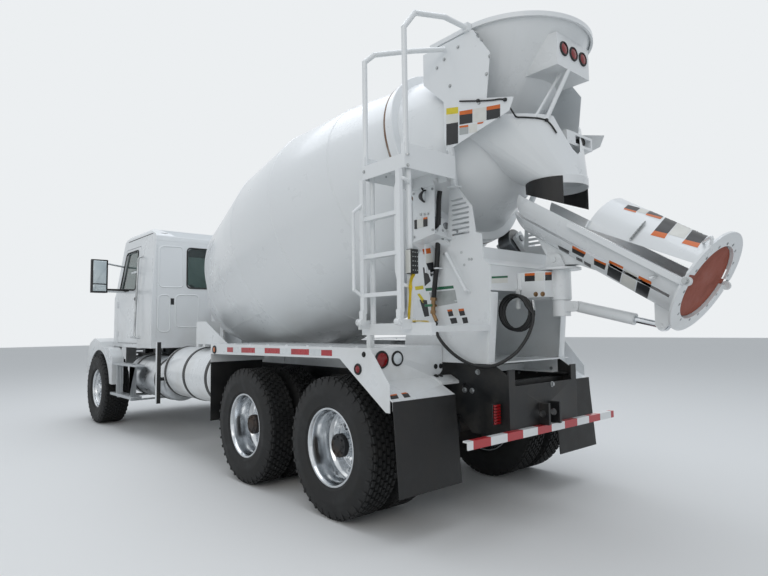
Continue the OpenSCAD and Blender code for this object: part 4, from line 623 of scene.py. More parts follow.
def tyreShape(kind):
    # a casing with its shoulder rings, its tread cut into blocks: ribs with narrow cuts where it steers, and
    # staggered blocks with deep grooves where it drives
    r, columns = kind["radius"], kind["columns"]
    half, bead, base = kind["width"] / 2, tyre["beadRadius"], r - tyre["treadDepth"]
    middle, edge = (bead + r) / 2, half * tyre["treadShare"]
    side = [(bead + 0.002, half * 0.70), (bead + 0.012, half * 0.80), (bead + 0.020, half * 0.88),
            (bead + 0.032, half * 0.925), (bead + 0.040, half * 0.92), (middle - 0.02, half * 0.985),
            (middle + 0.012, half * 0.995), (middle + 0.016, half * 0.98), (r - 0.075, half * 0.975),
            (r - 0.070, half * 0.955), (r - 0.045, half * 0.94), (base, edge)]
    tread = [(base, edge * (1 - 2 * k / columns)) for k in range(1, columns)]
    bm = bmesh.new()
    spun(bm, side + tread + [(pr, -pz) for pr, pz in reversed(side)], Matrix(), tyre["steps"])
    bmesh.ops.remove_doubles(bm, verts=bm.verts, dist=0.0001)
    closeAndTurn(bm)
    blocks = {}
    for face in bm.faces:
        reach = max(abs(math.hypot(v.co.x, v.co.y) - base) for v in face.verts)
        if reach < 0.0015 and max(abs(v.co.z) for v in face.verts) < half * 0.85:
            centre = face.calc_center_median()
            column = int((centre.z / edge + 1) / 2 * columns)
            row = int(round((math.atan2(centre.y, centre.x) % math.tau) / math.tau * tyre["steps"] - 0.5))
            blocks.setdefault((column, (row + column % 2) // 2), []).append(face)
    for faces in blocks.values():
        bmesh.ops.inset_region(bm, faces=faces, thickness=kind["groove"], depth=0, use_even_offset=True)
        bmesh.ops.inset_region(bm, faces=faces, thickness=tyre["slope"], depth=tyre["treadDepth"] * 0.96,
                               use_even_offset=True)
    for i in range(tyre["lugs"]):
        # shoulder lugs run down the side of the casing
        turn = Matrix.Rotation(math.tau * i / tyre["lugs"], 4, "Z")
        tangent = turn.to_3x3() @ Vector((0, 1, 0))
        for end in (1, -1):
            low, high = (turn @ Vector((r - inset, 0, end * (half * share)))
                         for inset, share in (tyre["lugFrom"], tyre["lugTo"]))
            axis = (high - low).normalized()
            basis = Matrix((axis.cross(tangent), tangent, axis)).transposed().to_4x4()
            size = Matrix.Diagonal((*tyre["lugSize"], (high - low).length, 1))
            bmesh.ops.create_cube(bm, size=1, matrix=Matrix.Translation((low + high) / 2) @ basis @ size)
    bmesh.ops.recalc_face_normals(bm, faces=bm.faces)
    return meshOf(bm, "tyreShape")


def placedTyres(name, node, shape, places):
    bm = bmesh.new()
    for place in places:
        addCopy(bm, shape, place)
    finish(bm, name, tyreRubber, bodyOf[node], "tyre_rubber", [node], 32)


steerShape, driveShape = tyreShape(wheels["steer"]), tyreShape(wheels["drive"])
wheelList = []
for side, word in sides:
    for axle, x, ys in axles:
        end = f"{axle}_{word}"
        kind = wheels["steer" if axle == "front" else "drive"]
        places = [wheelFrame(x, y, kind["radius"] * 1000, side) for y in ys]
        if axle == "front":
            placedTyres("steerTyre_" + word, "tyre_" + end, steerShape, places)
            wheelList.append((end, "rim_" + end, places[-1]))
        else:
            placedTyres("driveTyres_" + end, "tyres_" + end, driveShape, places)
            wheelList.append(("s_" + end, "rims_" + end, places[-1]))

# studs are (from, to, radius, sides) along the axle from the disc: nut, thread and washer
hub = {"studs": 10, "circle": 0.1425, "frontDisc": 0.088, "rearDisc": -0.1515,
       "stud": [(0, 0.024, 0.0165, 6), (0.020, 0.042, 0.0095, 12), (-0.001, 0.004, 0.020, 20)],
       "frontCap": [(0.0001, 0.141), (0.070, 0.140), (0.077, 0.134), (0.079, 0.112), (0.094, 0.112),
                    (0.094, 0.104), (0.0001, 0.104)],
       "rearCap": [(0.0001, 0.048), (0.045, 0.046), (0.055, 0.036), (0.088, 0.036), (0.0895, 0.024),
                   (0.0895, -0.03), (0.0001, -0.03)],
       "flangeStuds": 8, "flangeCircle": 0.068, "flangeAt": 0.036}
for label, node, place in wheelList:
    front = label.startswith("front")
    refined(node, forgedAluminium)
    bm = bmesh.new()
    for i in range(hub["studs"]):
        turn = math.tau * (i + 0.5) / hub["studs"]
        spot = Vector((hub["circle"] * math.cos(turn), hub["circle"] * math.sin(turn),
                       hub["frontDisc" if front else "rearDisc"]))
        for start, end, r, steps in hub["stud"]:
            addRod(bm, place @ (spot + Vector((0, 0, start))), place @ (spot + Vector((0, 0, end))), r,
                   steps=steps)
    finish(bm, "wheelNuts_" + label, chromePlate, bodyOf[node], slotOf[node], bevel=0.0012)
    bm = bmesh.new()
    spun(bm, hub["frontCap" if front else "rearCap"], place, 48)
    for i in range(0 if front else hub["flangeStuds"]):
        turn = math.tau * i / hub["flangeStuds"]
        spot = Vector((hub["flangeCircle"] * math.cos(turn), hub["flangeCircle"] * math.sin(turn),
                       hub["flangeAt"]))
        addBolt(bm, place @ spot, place.to_3x3() @ Vector((0, 0, 1)), 0.013, 0.012)
    closeAndTurn(bm)
    finish(bm, "hubCap_" + label, chromePlate if front else castIron, bodyOf[node], slotOf[node],
           bevel=0.002)

# Drum
print("drum")
drum = {"front": (4000, 0, 1732), "slope": 15.6, "line": [
    (0.200, 0.041), (0.200, 0.075), (0.330, 0.075), (0.430, 0.140), (0.504, 0.224), (0.987, 1.252),
    (1.130, 2.252), (1.111, 3.023), (0.951, 3.787), (0.747, 4.433), (0.520, 5.050)], "wall": 0.010,
    "seams": (1.252, 2.252, 3.023, 3.787), "seamEdge": ((-0.002, -0.009), (0.0022, -0.004), (0.0022, 0.004),
                                                        (-0.002, 0.009)),
    "courses": (0.224, 1.252, 2.252, 3.023, 3.787, 4.38), "weldRadius": 0.0035, "weldAt": 55,
    "weldTurn": 76, "ring": 4.433, "ringRadius": 0.800, "ringWidth": 0.110, "steps": 192,
    "mouth": [(0.522, 5.050), (0.530, 5.046), (0.530, 5.020), (0.519, 5.016), (0.508, 5.044)]}
drumPlace = placed(drum["front"], drum["slope"] - 90, "Y")


def radiusAt(along):
    for (r0, s0), (r1, s1) in zip(drum["line"], drum["line"][1:]):
        if s0 <= along <= s1 and s1 > s0:
            return r0 + (r1 - r0) * (along - s0) / (s1 - s0)
    return drum["line"][-1][0]


def onDrum(along, turn):
    r = radiusAt(along)
    return drumPlace @ Vector((r * math.cos(turn), r * math.sin(turn), along))


outer = [(0.0, 0.041)] + drum["line"]
inner = [(r - drum["wall"], s) for r, s in reversed(drum["line"][4:])]
turnedPiece("drumShell", enamel, [outer + inner + [(0.0, 0.085)]], drumPlace, drum["steps"], body="drum",
            slotName="white_paint", replaced=["drum"], angle=20)
bm = bmesh.new()
for s in drum["seams"]:
    spun(bm, [(radiusAt(s) + rise, s + along) for rise, along in drum["seamEdge"]], drumPlace,
         drum["steps"])
for k, (start, end) in enumerate(zip(drum["courses"], drum["courses"][1:])):
    # lengthwise weld seams, one to each course of plate
    turn = math.radians(drum["weldAt"] + drum["weldTurn"] * k)
    stops = [start + (end - start) * i / 12 for i in range(13)]
    for a, b in zip(stops, stops[1:]):
        addRod(bm, onDrum(a, turn), onDrum(b, turn), drum["weldRadius"], steps=8)
closeAndTurn(bm)
finish(bm, "drumWelds", enamel, "drum", "white_paint", angle=60)
back, fore = drum["ring"] - drum["ringWidth"] / 2, drum["ring"] + drum["ringWidth"] / 2
rim = drum["ringRadius"]
turnedPiece("trackRing", enamel, [[(0.742, back), (rim, back), (rim, fore), (0.722, fore)]], drumPlace,
            drum["steps"], body="drum", slotName="white_paint", angle=30, bevel=0.006)
wear = [(rim - 0.004, back + 0.010), (rim + 0.0006, back + 0.011), (rim + 0.0006, back + 0.032),
        (rim - 0.004, back + 0.033)]
turnedPiece("trackWear", rustFilm, [wear], drumPlace, drum["steps"], body="drum", slotName="bare_steel",
            angle=30)
turnedPiece("mouthBand", enamel, [drum["mouth"]], drumPlace, 128, body="drum", slotName="white_paint",
            angle=40)

# Tanks
print("tanks")
tanks = {"fuelTank": ("fuel_tank", rolledSheet, (3760, 850, 800), 0.280, 1.340),
         "waterTank": ("water_tank", enamel, (2150, 900, 920), 0.310, 1.350)}
for name, (node, finishOf, at, r, long) in tanks.items():
    place = placed(at, 90, "Y")
    dome = [(0.0, -0.050), (r * 0.35, -0.046), (r * 0.65, -0.034), (r * 0.86, -0.018), (r * 0.95, -0.005),
            (r * 0.985, 0.012), (r, 0.030)]
    far = [(q, long - z) for q, z in reversed(dome)]
    turnedPiece(name, finishOf, [dome + far], place, 128, body=bodyOf[node], slotName=slotOf[node],
                replaced=[node], angle=40)
    welds = [[(r - 0.001, end - 0.006), (r + 0.002, end - 0.002), (r + 0.002, end + 0.002),
              (r - 0.001, end + 0.006)]
             for end in (0.030, long - 0.030)]
    turnedPiece(name + "Welds", finishOf, welds, place, 96, body=bodyOf[node], slotName=slotOf[node],
                angle=60)

# Small parts: each is set on the CAD node that carries it, found from the camera's side or from outside
print("small parts")
photoWide, photoHigh = camera["frame"]
focal = camera["lens"] / camera["sensor"] * photoWide
shapes = {}


def shapeOf(node):
    if node not in shapes:
        mesh = nodes[node].data
        shapes[node] = BVHTree.FromPolygons([v.co for v in mesh.vertices],
                                            [p.vertices for p in mesh.polygons])
    return shapes[node]


def glance(point):
    # the way from the camera through a point of the photograph's frame
    across, down = point[0] - photoWide / 2, point[1] - photoHigh / 2
    return (ahead + right * (across / focal) - above * (down / focal)).normalized()


def onto(node, start, way):
    # where a line first meets a node, or the node's nearest place to it, and the outward direction there
    spot, normal = shapeOf(node).ray_cast(start, way)[:2]
    if spot is None:
        spot, normal = shapeOf(node).find_nearest(start + way * 4.5)[:2]
    return spot, -normal if normal.dot(way) > 0 else normal


def meet(node, point):
    return onto(node, cameraPlace, glance(point))


def atPlane(point, axis, value):
    # where the glance through a point meets a plane across one axis, in truck millimetres
    way = glance(point)
    level = mm(value, value, value)[axis]
    return cameraPlace + way * ((level - cameraPlace[axis]) / way[axis])


def addFilm(bm, node, corners, across, down, lift):
    # thin film wrapped on a node between four corners, clockwise from the upper left
    grid = bmesh.ops.create_grid(bm, x_segments=across, y_segments=down, size=1)["verts"]
    middle = sum((Vector(c) for c in corners), Vector((0, 0))) / 4
    depth = (meet(node, middle)[0] - cameraPlace).length
    slack = 0.12 + 0.02 * (corners[1][0] - corners[0][0])
    for v in grid:
        s, t = (v.co.x + 1) / 2, (1 - v.co.y) / 2
        top = Vector(corners[0]).lerp(Vector(corners[1]), s)
        low = Vector(corners[3]).lerp(Vector(corners[2]), s)
        point = top.lerp(low, t)
        spot, normal = meet(node, point)
        while abs((spot - cameraPlace).length - depth) > slack and (point - middle).length > 0.3:
            # past the carrier's edge: drawn in towards the film's middle
            point = point.lerp(middle, 0.15)
            spot, normal = meet(node, point)
        v.co = spot + normal * lift
    bmesh.ops.remove_doubles(bm, verts=grid, dist=0.0002)
    for face in bm.faces:
        face.normal_update()
        if face.normal.dot(face.calc_center_median() - cameraPlace) > 0:
            face.normal_flip()


def addSheet(bm, corners, thick=0.006):
    # flat plate between corners in truck millimetres, given its thickness along its normal
    face = bm.faces.new([bm.verts.new(mm(*c)) for c in corners])
    face.normal_update()
    out = face.normal * thick
    made = bmesh.ops.extrude_face_region(bm, geom=[face])["geom"]
    bmesh.ops.translate(bm, vec=out, verts=[v for v in made if isinstance(v, bmesh.types.BMVert)])


# Blank panels, in the places and plain colours of the plates that such a truck carries
# stacks of panels: their colours from the top down, then the left and right end of each edge
films = {
    "collector": [
        ("yellow pale black", (446.4, 108.4, 458.2, 106.9), (446.4, 114.8, 458.2, 113.4),
         (446.4, 124.2, 458.2, 122.2), (446.4, 145.6, 458.2, 143.2)),
        ("orange black", (459.5, 111.4, 472.5, 109.2), (459.5, 115.2, 472.5, 113.4),
         (459.5, 124.8, 472.5, 122.6)),
        ("pale", (472.9, 109.0, 486.2, 106.8), (472.9, 122.6, 486.2, 120.4)),
        ("orange black", (486.6, 106.8, 500.2, 104.2), (486.6, 110.4, 500.2, 108.2),
         (486.6, 120.2, 500.2, 117.6)),
        ("orange grey", (459.5, 126.0, 468.4, 124.8), (459.5, 128.0, 468.4, 126.8),
         (459.5, 135.2, 468.4, 133.6)),
        ("pale", (469.0, 124.7, 477.0, 123.4), (469.0, 133.3, 477.0, 131.9)),
        ("orange", (477.5, 122.6, 484.0, 121.6), (477.5, 124.4, 482.6, 123.4))],
    "rear_pedestal": [
        ("orange pale black", (422.2, 249.2, 430.2, 248.0), (423.4, 254.3, 431.0, 253.2),
         (426.2, 263.4, 433.2, 262.0), (431.0, 276.6, 434.4, 274.0)),
        ("black", (422.9, 267.6, 426.0, 266.7), (424.8, 286.3, 430.8, 281.0)),
        ("yellow", (414.8, 286.6, 423.2, 285.5), (415.6, 290.2, 423.6, 289.1)),
        ("yellow", (417.3, 294.3, 419.6, 293.3), (423.0, 303.2, 425.6, 301.6)),
        ("black", (419.6, 299.6, 426.9, 300.2), (424.6, 316.9, 429.3, 316.0)),
        ("green", (425.3, 288.2, 453.3, 285.5), (425.9, 291.2, 453.9, 288.4)),
        ("grey", (429.0, 292.4, 455.0, 289.8), (433.0, 307.2, 457.4, 302.8)),
        ("orange black", (447.1, 309.8, 451.9, 309.2), (447.6, 311.6, 452.4, 310.9),
         (448.9, 316.6, 453.7, 315.8)),
        ("pale", (453.2, 309.2, 457.4, 308.8), (454.6, 315.8, 458.6, 315.2)),
        ("orange black", (458.3, 309.0, 463.8, 308.4), (458.8, 311.2, 464.2, 310.6),
         (460.2, 315.9, 465.4, 315.2)),
        ("black", (449.7, 318.4, 456.2, 317.6), (451.6, 323.9, 457.6, 323.0)),
        ("black", (461.9, 317.8, 467.0, 317.0), (463.4, 323.6, 468.4, 322.8)),
        ("green pale", (491.6, 276.5, 507.7, 275.7), (491.6, 278.5, 507.7, 277.7),
         (491.6, 283.5, 507.7, 282.7)),
        ("orange black", (524.8, 273.4, 534.8, 272.8), (524.8, 276.0, 534.8, 275.3),
         (524.8, 281.6, 534.8, 281.0)),
        ("pale", (535.0, 272.8, 543.4, 272.4), (535.0, 281.0, 543.4, 280.6)),
        ("orange black", (543.6, 272.4, 551.7, 272.0), (543.6, 274.9, 551.7, 274.4),
         (543.6, 280.6, 551.7, 280.2))],
    "chute": [
        ("black", (557.9, 245.2, 569.2, 250.8), (559.4, 248.9, 568.8, 254.2)),
        ("orange black", (572.6, 245.7, 585.8, 252.4), (572.2, 247.8, 585.3, 254.4),
         (572.1, 252.0, 583.2, 257.6)),
        ("black", (576.2, 256.8, 582.3, 259.5), (576.4, 259.6, 582.7, 262.4)),
        ("black", (584.1, 261.0, 591.0, 264.5), (584.6, 264.2, 590.8, 267.8)),
        ("orange black", (594.3, 258.2, 606.2, 263.7), (594.1, 260.0, 606.0, 265.4),
         (594.0, 264.5, 604.6, 269.8)),
        ("orange black", (609.5, 260.2, 623.6, 266.9), (608.9, 262.4, 622.8, 269.1),
         (607.0, 274.8, 619.6, 282.0)),
        ("pale", (623.8, 268.6, 637.2, 275.3), (620.6, 283.4, 634.2, 291.0)),
        ("orange black", (638.9, 275.6, 651.6, 281.8), (638.2, 278.4, 651.2, 284.5),
         (635.2, 292.2, 647.2, 298.6))],
    "fold_chute": [
        ("black orange", (627.9, 204.9, 640.2, 208.1), (624.3, 208.1, 636.5, 211.3),
         (623.4, 209.3, 635.5, 212.8)),
        ("pale", (640.6, 208.3, 649.0, 210.7), (637.0, 211.6, 645.1, 213.7)),
        ("black orange", (649.9, 210.9, 665.4, 214.8), (646.6, 213.4, 662.4, 217.4),
         (645.4, 215.0, 660.2, 219.2)),
        ("black orange", (665.9, 216.8, 679.0, 220.4), (654.2, 230.6, 667.6, 233.8),
         (650.4, 235.0, 664.4, 238.6)),
        ("pale", (679.4, 220.6, 695.6, 224.8), (668.2, 234.2, 684.0, 238.6)),
        ("black orange", (696.3, 225.0, 713.6, 229.7), (684.9, 239.6, 700.4, 243.4),
         (681.6, 243.2, 697.4, 247.8))],
    "fenders": [
        ("silver", (227.2, 346.9, 332.0, 349.7), (227.2, 352.4, 332.0, 356.4)),
        ("red", (227.2, 347.3, 233.1, 347.4), (227.2, 352.0, 233.1, 352.2)),
        ("red", (241.4, 347.6, 255.0, 347.8), (241.4, 352.6, 255.0, 352.9)),
        ("red", (264.7, 348.0, 279.9, 348.3), (264.7, 353.2, 279.9, 353.7)),
        ("red", (291.2, 348.8, 309.1, 349.2), (291.2, 354.4, 309.1, 355.0)),
        ("red", (321.3, 349.9, 332.1, 350.1), (321.3, 355.6, 332.1, 356.0)),
        ("orange black", (389.9, 394.9, 396.4, 393.8), (390.2, 396.2, 397.2, 395.0),
         (391.2, 399.6, 399.0, 398.4)),
        ("orange black", (400.8, 393.2, 405.6, 392.4), (401.8, 394.2, 408.0, 393.2),
         (404.4, 398.0, 410.6, 397.0))]}
curvedNodes = ("chute", "fold_chute", "collector")
for node, stacks in films.items():
    panels = [(colour, (up[:2], up[2:], low[2:], low[:2])) for colours, *rows in stacks
              for colour, up, low in zip(colours.split(), rows, rows[1:])]
    curved = node in curvedNodes
    for colour in sorted({colour for colour, _ in panels}):
        bm = bmesh.new()
        for corners in (found for word, found in panels if word == colour):
            addFilm(bm, node, corners, 24 if colour == "silver" else 10 if curved else 5,
                    18 if curved else 4, 0.0012 if colour == "red" or curved else 0.0006)
        finish(bm, f"panel_{colour}_{node}", filmFinish[colour], bodyOf[node],
               "red_tape" if colour in tapeTones else "white_paint", angle=60)

# Bolts, screws and rivets, by the node that carries them: (finish, width across the head, height, places)
heads = {
    "rear_pedestal": [
        (zincSteel, 0.013, 0.004, [(442.7, 230.4), (442.7, 238.8), (461.4, 252.4), (469.1, 259.2),
                                   (471.7, 259.2), (464.3, 264.9), (457.4, 231.5)]),
        (brass, 0.022, 0.014, [(535.9, 294.3), (542.8, 294.1)])],
    "collector": [
        (zincSteel, 0.017, 0.008, [(477.4, 31.5), (444.3, 59.5), (489.5, 56.3), (479.1, 103.0),
                                   (437.0, 68.0),
                                   (458.0, 47.0), (484.0, 38.0), (486.5, 74.0), (450.0, 86.0)])],
    "fenders": [
        (gasket, 0.024, 0.010, [(435.6, 366.4), (440.6, 366.0), (436.2, 376.1), (440.6, 375.7),
                                (363.9, 354.5)]),
        (zincSteel, 0.016, 0.007, [(395.0, 408.2), (413.8, 405.3), (431.2, 402.2), (448.0, 399.5)])],
    "rear_frame": [
        (zincSteel, 0.026, 0.016, [(457.4, 360.7), (464.8, 390.0), (472.3, 390.6), (478.0, 372.0),
                                   (520.0, 372.0), (538.0, 371.0), (552.0, 384.0), (552.0, 368.0)])],
    "platform": [
        (zincSteel, 0.016, 0.008, [(407.8, 154.0), (407.8, 165.0), (364.0, 172.0), (364.0, 184.0),
                                   (438.0, 148.0)])]}
for node, groups in heads.items():
    for number, (finishOf, across, high, places) in enumerate(groups):
        boltPiece(f"bolts_{node}_{number}", finishOf,
                  [(*meet(node, place), across, high) for place in places],
                  body=bodyOf[node], slotName="bare_steel")
deck = {"from": -350, "pitch": 320, "count": 8, "y": 1212, "z": 1290}
boltPiece("deckBolts", enamel, [(mm(deck["from"] + deck["pitch"] * i, side * deck["y"], deck["z"]),
                                 (0, 0, 1), 0.018, 0.010)
                                for side in (1, -1) for i in range(deck["count"])], slotName="white_paint")

# Lamps: a rubber ring, a domed lens with moulded rings
print("lamps")
lampRound = {"ring": 0.011, "dome": 0.010, "rib": 0.0012, "steps": 40}
# x and y, z, facing, radius, lens; each lamp is on both sides
lampList = [
    ("tail", (-536, 1138), 1207, (-1, 0, 0), 0.052, redLens),
    ("backing", (-536, 990), 1209, (-1, 0, 0), 0.044, clearLens),
    ("side", (-398, 1240), 1140, (0, 1, 0), 0.029, redLens),
    ("fore", (1964, 1240), 1231, (0, 1, 0), 0.030, amberLens)]
lampSpots = [(name, (x, side * y, z), (wx, side * wy, wz), r, lens)
             for name, (x, y), z, (wx, wy, wz), r, lens in lampList for side in (1, -1)]
lampSpots += [("hopper", (-1440, y, 3440), (-1, 0, 0), 0.042, redLens) for y in (-130, 0, 130)]
lensOf = {}
bm = bmesh.new()
for name, at, way, r, lens in lampSpots:
    place = Matrix.Translation(mm(*at)) @ Vector(way).to_track_quat("Z", "Y").to_matrix().to_4x4()
    edge = r + lampRound["ring"]
    spun(bm, [(r - 0.002, -0.001), (edge, -0.001), (edge + 0.001, 0.003), (edge - 0.003, 0.010),
              (r + 0.001, 0.011), (r - 0.002, 0.009)], place, lampRound["steps"])
    part = lensOf.setdefault(name, (bmesh.new(), lens))[0]
    dome = [(r * k / 7, 0.004 + lampRound["dome"] * (1 - (k / 7) ** 2) + lampRound["rib"] * (k % 2))
            for k in range(8)]
    spun(part, dome + [(r, -0.001), (0.0, -0.001)], place, lampRound["steps"])
closeAndTurn(bm)
lampPieces = [finish(bm, "lampRings", gasket, slotName="red_lens", angle=40)]
for name, (part, lens) in lensOf.items():
    closeAndTurn(part)
    lampPieces.append(finish(part, "lens_" + name, lens, slotName="red_lens", angle=30))
# upright tail lamps on the frame's sides: a bezel round a lens of seven ribs
bezels = [((-1034, min(side * 446, side * 545), 735), (-1022, max(side * 446, side * 545), 885))
          for side in (1, -1)]
ribs = [((-1046, min(side * 460, side * 545) + 6, 742 + 20 * k),
         (-1033, max(side * 460, side * 545) - 6, 759 + 20 * k))
        for side in (1, -1) for k in range(7)]
lampPieces.append(boxPiece("frameLampBezels", chassisBlack, bezels, slotName="red_lens", bevel=0.003))
lampPieces.append(boxPiece("frameLampLenses", redLens, ribs, slotName="red_lens", bevel=0.004))
for piece in lampPieces:
    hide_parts("lamps")

# Cab: window rubbers, pressed panels, vents, mirrors, handles, front lamps, wipers
print("cab")
cab = {"back": 4419, "rubber": 0.011, "bead": 0.010, "ventAt": 770, "vents": 5, "rivetAt": 985,
       "rivets": 34, "rear": [(-545, 2052), (-545, 2612), (545, 2612), (545, 2052)],
       "screen": [(-930, 2090), (-890, 2678), (890, 2678), (930, 2090)],
       "door": [(5130, 2055), (5130, 2625), (5650, 2625), (5855, 2110), (5855, 2055)]}


def grown(points, by=10):
    middle = (sum(p[0] for p in points) / len(points), sum(p[1] for p in points) / len(points))
    return [(p[0] + math.copysign(by, p[0] - middle[0]), p[1] + math.copysign(by, p[1] - middle[1]))
            for p in points]


def closedLine(corners, reach=60):
    # a closed outline with rounded corners and even points
    corners = [Vector((a, b, 0)) for a, b in corners]
    middle = (corners[0] + corners[-1]) / 2
    path = rounded([middle] + corners + [middle], reach)
    fine = []
    for a, b in zip(path, path[1:]):
        count = max(1, int((b - a).length / 60))
        fine += [a.lerp(b, k / count) for k in range(count)]
    return fine + [middle]


def fromBeside(node, side, x, z, start=1500):
    # where a line straight in from one side of the truck meets a node
    return onto(node, mm(x, side * start, z), Vector((0, -side, 0)))[0]


def fromAhead(node, y, z):
    return onto(node, mm(7600, y, z), Vector((-1, 0, 0)))[0]


back = cab["back"]
for side, word in sides:
    line = [fromBeside("door_" + word, side, p.x, p.y) for p in closedLine(grown(cab["door"]))]
    tube("windowRubber_" + word, line, cab["rubber"], gasket, "door_" + word, bend=0, steps=2)
line = [mm(back, p.x, p.y) for p in closedLine(grown(cab["rear"]))]
tube("windowRubber_rear", line, cab["rubber"], gasket, bend=0, steps=2)
line = [fromAhead("cab_sides", p.x, p.y) for p in closedLine(grown(cab["screen"], 12))]
tube("windowRubber_screen", line, cab["rubber"], gasket, bend=0, steps=2)
pressed = {"upper": [(159.6, 246.1), (183.3, 247.0), (183.3, 287.4), (159.0, 287.0)],
           "lowerOuter": [(158.6, 294.7), (170.0, 294.9), (170.0, 332.0), (157.6, 331.6)],
           "lowerInner": [(175.8, 294.9), (198.6, 295.2), (198.0, 327.4), (175.4, 327.0)]}
for name, corners in pressed.items():
    spots = [atPlane(p, 0, back + 1) for p in corners]
    for side, word in sides:
        outline = closedLine([(side * spot.y * 1000, spot.z * 1000) for spot in spots], 70)
        tube(f"pressedBead_{name}_{word}", [mm(back + 3, p.x, p.y) for p in outline], cab["bead"], enamel,
             bend=0, steps=2)
vents = []
for middle in (cab["ventAt"], -cab["ventAt"]):
    vents += [((back - 4, middle - 26, 1806 + 15 * k), (back + 4, middle + 26, 1815 + 15 * k))
              for k in range(cab["vents"])]
    vents.append(((back - 2, middle - 32, 1798), (back + 6, middle + 32, 1888)))
boxPiece("cabVents", moulded, vents, bevel=0.003)
rivets = [(mm(back + 0.5, y, 1300 + 40 * i), (-1, 0, 0), 0.009, 0.003)
          for y in (cab["rivetAt"], -cab["rivetAt"]) for i in range(cab["rivets"])]
boltPiece("cabRivets", enamel, rivets, slotName="white_paint")
for side, word in sides:
    body = "door_" + word
    glass = [((5263, side * 1500 - 88, low), (5270.5, side * 1500 + 88, high))
             for low, high in ((2125, 2455), (2015, 2108))]
    boxPiece("mirrorGlass_" + word, mirrorSilver, glass, body=body, slotName="window_glass", bevel=0.006)
    at = fromBeside(body, side, 5080, 1905).y * 1000
    grip = at + side * 8
    boxPiece("doorHandle_" + word, moulded, [((5030, at - 4, 1880), (5150, at + 4, 1930)),
                                             ((5036, grip - 5, 1897), (5144, grip + 5, 1915))], body=body,
                                             bevel=0.003)
bm = bmesh.new()
for y in (-620, -310, 0, 310, 620):
    spot = onto("cab_roof", mm(5500, y, 3300), Vector((0, 0, -1)))[0]
    bmesh.ops.create_uvsphere(bm, u_segments=24, v_segments=12, radius=1, matrix=Matrix.Translation(spot) @
                              Matrix.Diagonal((0.060, 0.032, 0.028, 1)))
finish(bm, "roofLamps", amberLens, slotName="red_lens", angle=40)
headlamps = {"x": 6985, "z": 962, "each": ((875, 0.058), (1010, 0.052))}
wiper = {"pivot": (420, 2040), "tip": (300, 2330), "low": (560, 2190), "high": (130, 2420)}
rail = {"x": 4915, "ends": (2520, 1330), "out": 62, "radius": 0.014}
for side, word in sides:
    bm = bmesh.new()
    rings = bmesh.new()
    for y, r in headlamps["each"]:
        place = placed((headlamps["x"], side * y, headlamps["z"]), 90, "Y")
        spun(rings, [(r, -0.002), (r + 0.012, -0.002), (r + 0.011, 0.010), (r + 0.002, 0.012)], place, 40)
        spun(bm, [(0.0, 0.014), (r * 0.5, 0.012), (r * 0.85, 0.006), (r, 0.002), (r, -0.002),
                  (0.0, -0.002)], place, 40)
    for part, name, finishOf in ((rings, "headlampRings_", chromePlate),
                                 (bm, "headlampLenses_", clearLens)):
        closeAndTurn(part)
        finish(part, name + word, finishOf, bodyOf["grille"], "chromed_steel")
    pivot = fromAhead("cab_sides", side * wiper["pivot"][0], wiper["pivot"][1])
    tip, low, high = (fromAhead("cab_glass", side * wiper[k][0], wiper[k][1])
                      for k in ("tip", "low", "high"))
    out = Vector((0.018, 0, 0.006))
    bm = bmesh.new()
    addRod(bm, pivot - out, pivot + out * 1.4, 0.014, steps=16)
    addRod(bm, pivot + out, tip + out, 0.006, 0.004, 12)
    addRod(bm, low + out * 0.6, high + out * 0.6, 0.006, steps=8)
    finish(bm, "wiper_" + word, moulded)
    # grab rail behind the door
    x = rail["x"]
    top, foot = (fromBeside("cab_sides", side, x, z, 2000).y * 1000 for z in rail["ends"])
    reach = side * rail["out"]
    line = [(x - 12, top - side * 4, 2520), (x + 8, top + reach, 2496), (x + 14, top + reach, 2420),
            (x + 14, foot + reach, 1410), (x + 2, foot + reach, 1352), (x - 26, foot - side * 4, 1326)]
    tube("grabRail_" + word, rounded([mm(*p) for p in line], 0.05), rail["radius"], zincSteel)
sideSeam = [fromBeside("cab_roof", 1, x, 2815, 2000) for x in range(5640, 4500, -60)]
rearSeam = [onto("cab_roof", mm(3500, y, 2815), Vector((1, 0, 0)))[0] for y in range(900, -901, -100)]
tube("roofSeam", sideSeam + rearSeam + [spot * Vector((1, -1, 1)) for spot in reversed(sideSeam)], 0.005,
     gasket)

# Rear pedestal: conduit and its ties, valve, pendant with its strap, grab handle, work lamp, levers
print("rear fittings")
conduit = {"radius": 0.020, "ties": [(-563, 560, 2185), (-528, 552, 1888)],
           "line": [(-575, 548, 2492), (-566, 552, 2437), (-566, 560, 2310), (-563, 560, 2185),
                    (-548, 558, 2030), (-528, 552, 1888), (-500, 548, 1760), (-482, 544, 1660)]}
tube("conduit", [mm(*p) for p in conduit["line"]], conduit["radius"], hoseRubber, bend=0.06, steps=4)
bm = bmesh.new()
for x, y, z in conduit["ties"]:
    spun(bm, [(0.0205, -0.006), (0.0235, -0.006), (0.0235, 0.006), (0.0205, 0.006)],
         Matrix.Translation(mm(x, y, z)), 32)
    addBox(bm, (x - 60, 507, z - 5), (x - 4, 511, z + 5))
    addBox(bm, (x - 26, 509, z - 5), (x - 22, y, z + 5))
closeAndTurn(bm)
finish(bm, "conduitTies", enamel, slotName="white_paint", bevel=0.0005)
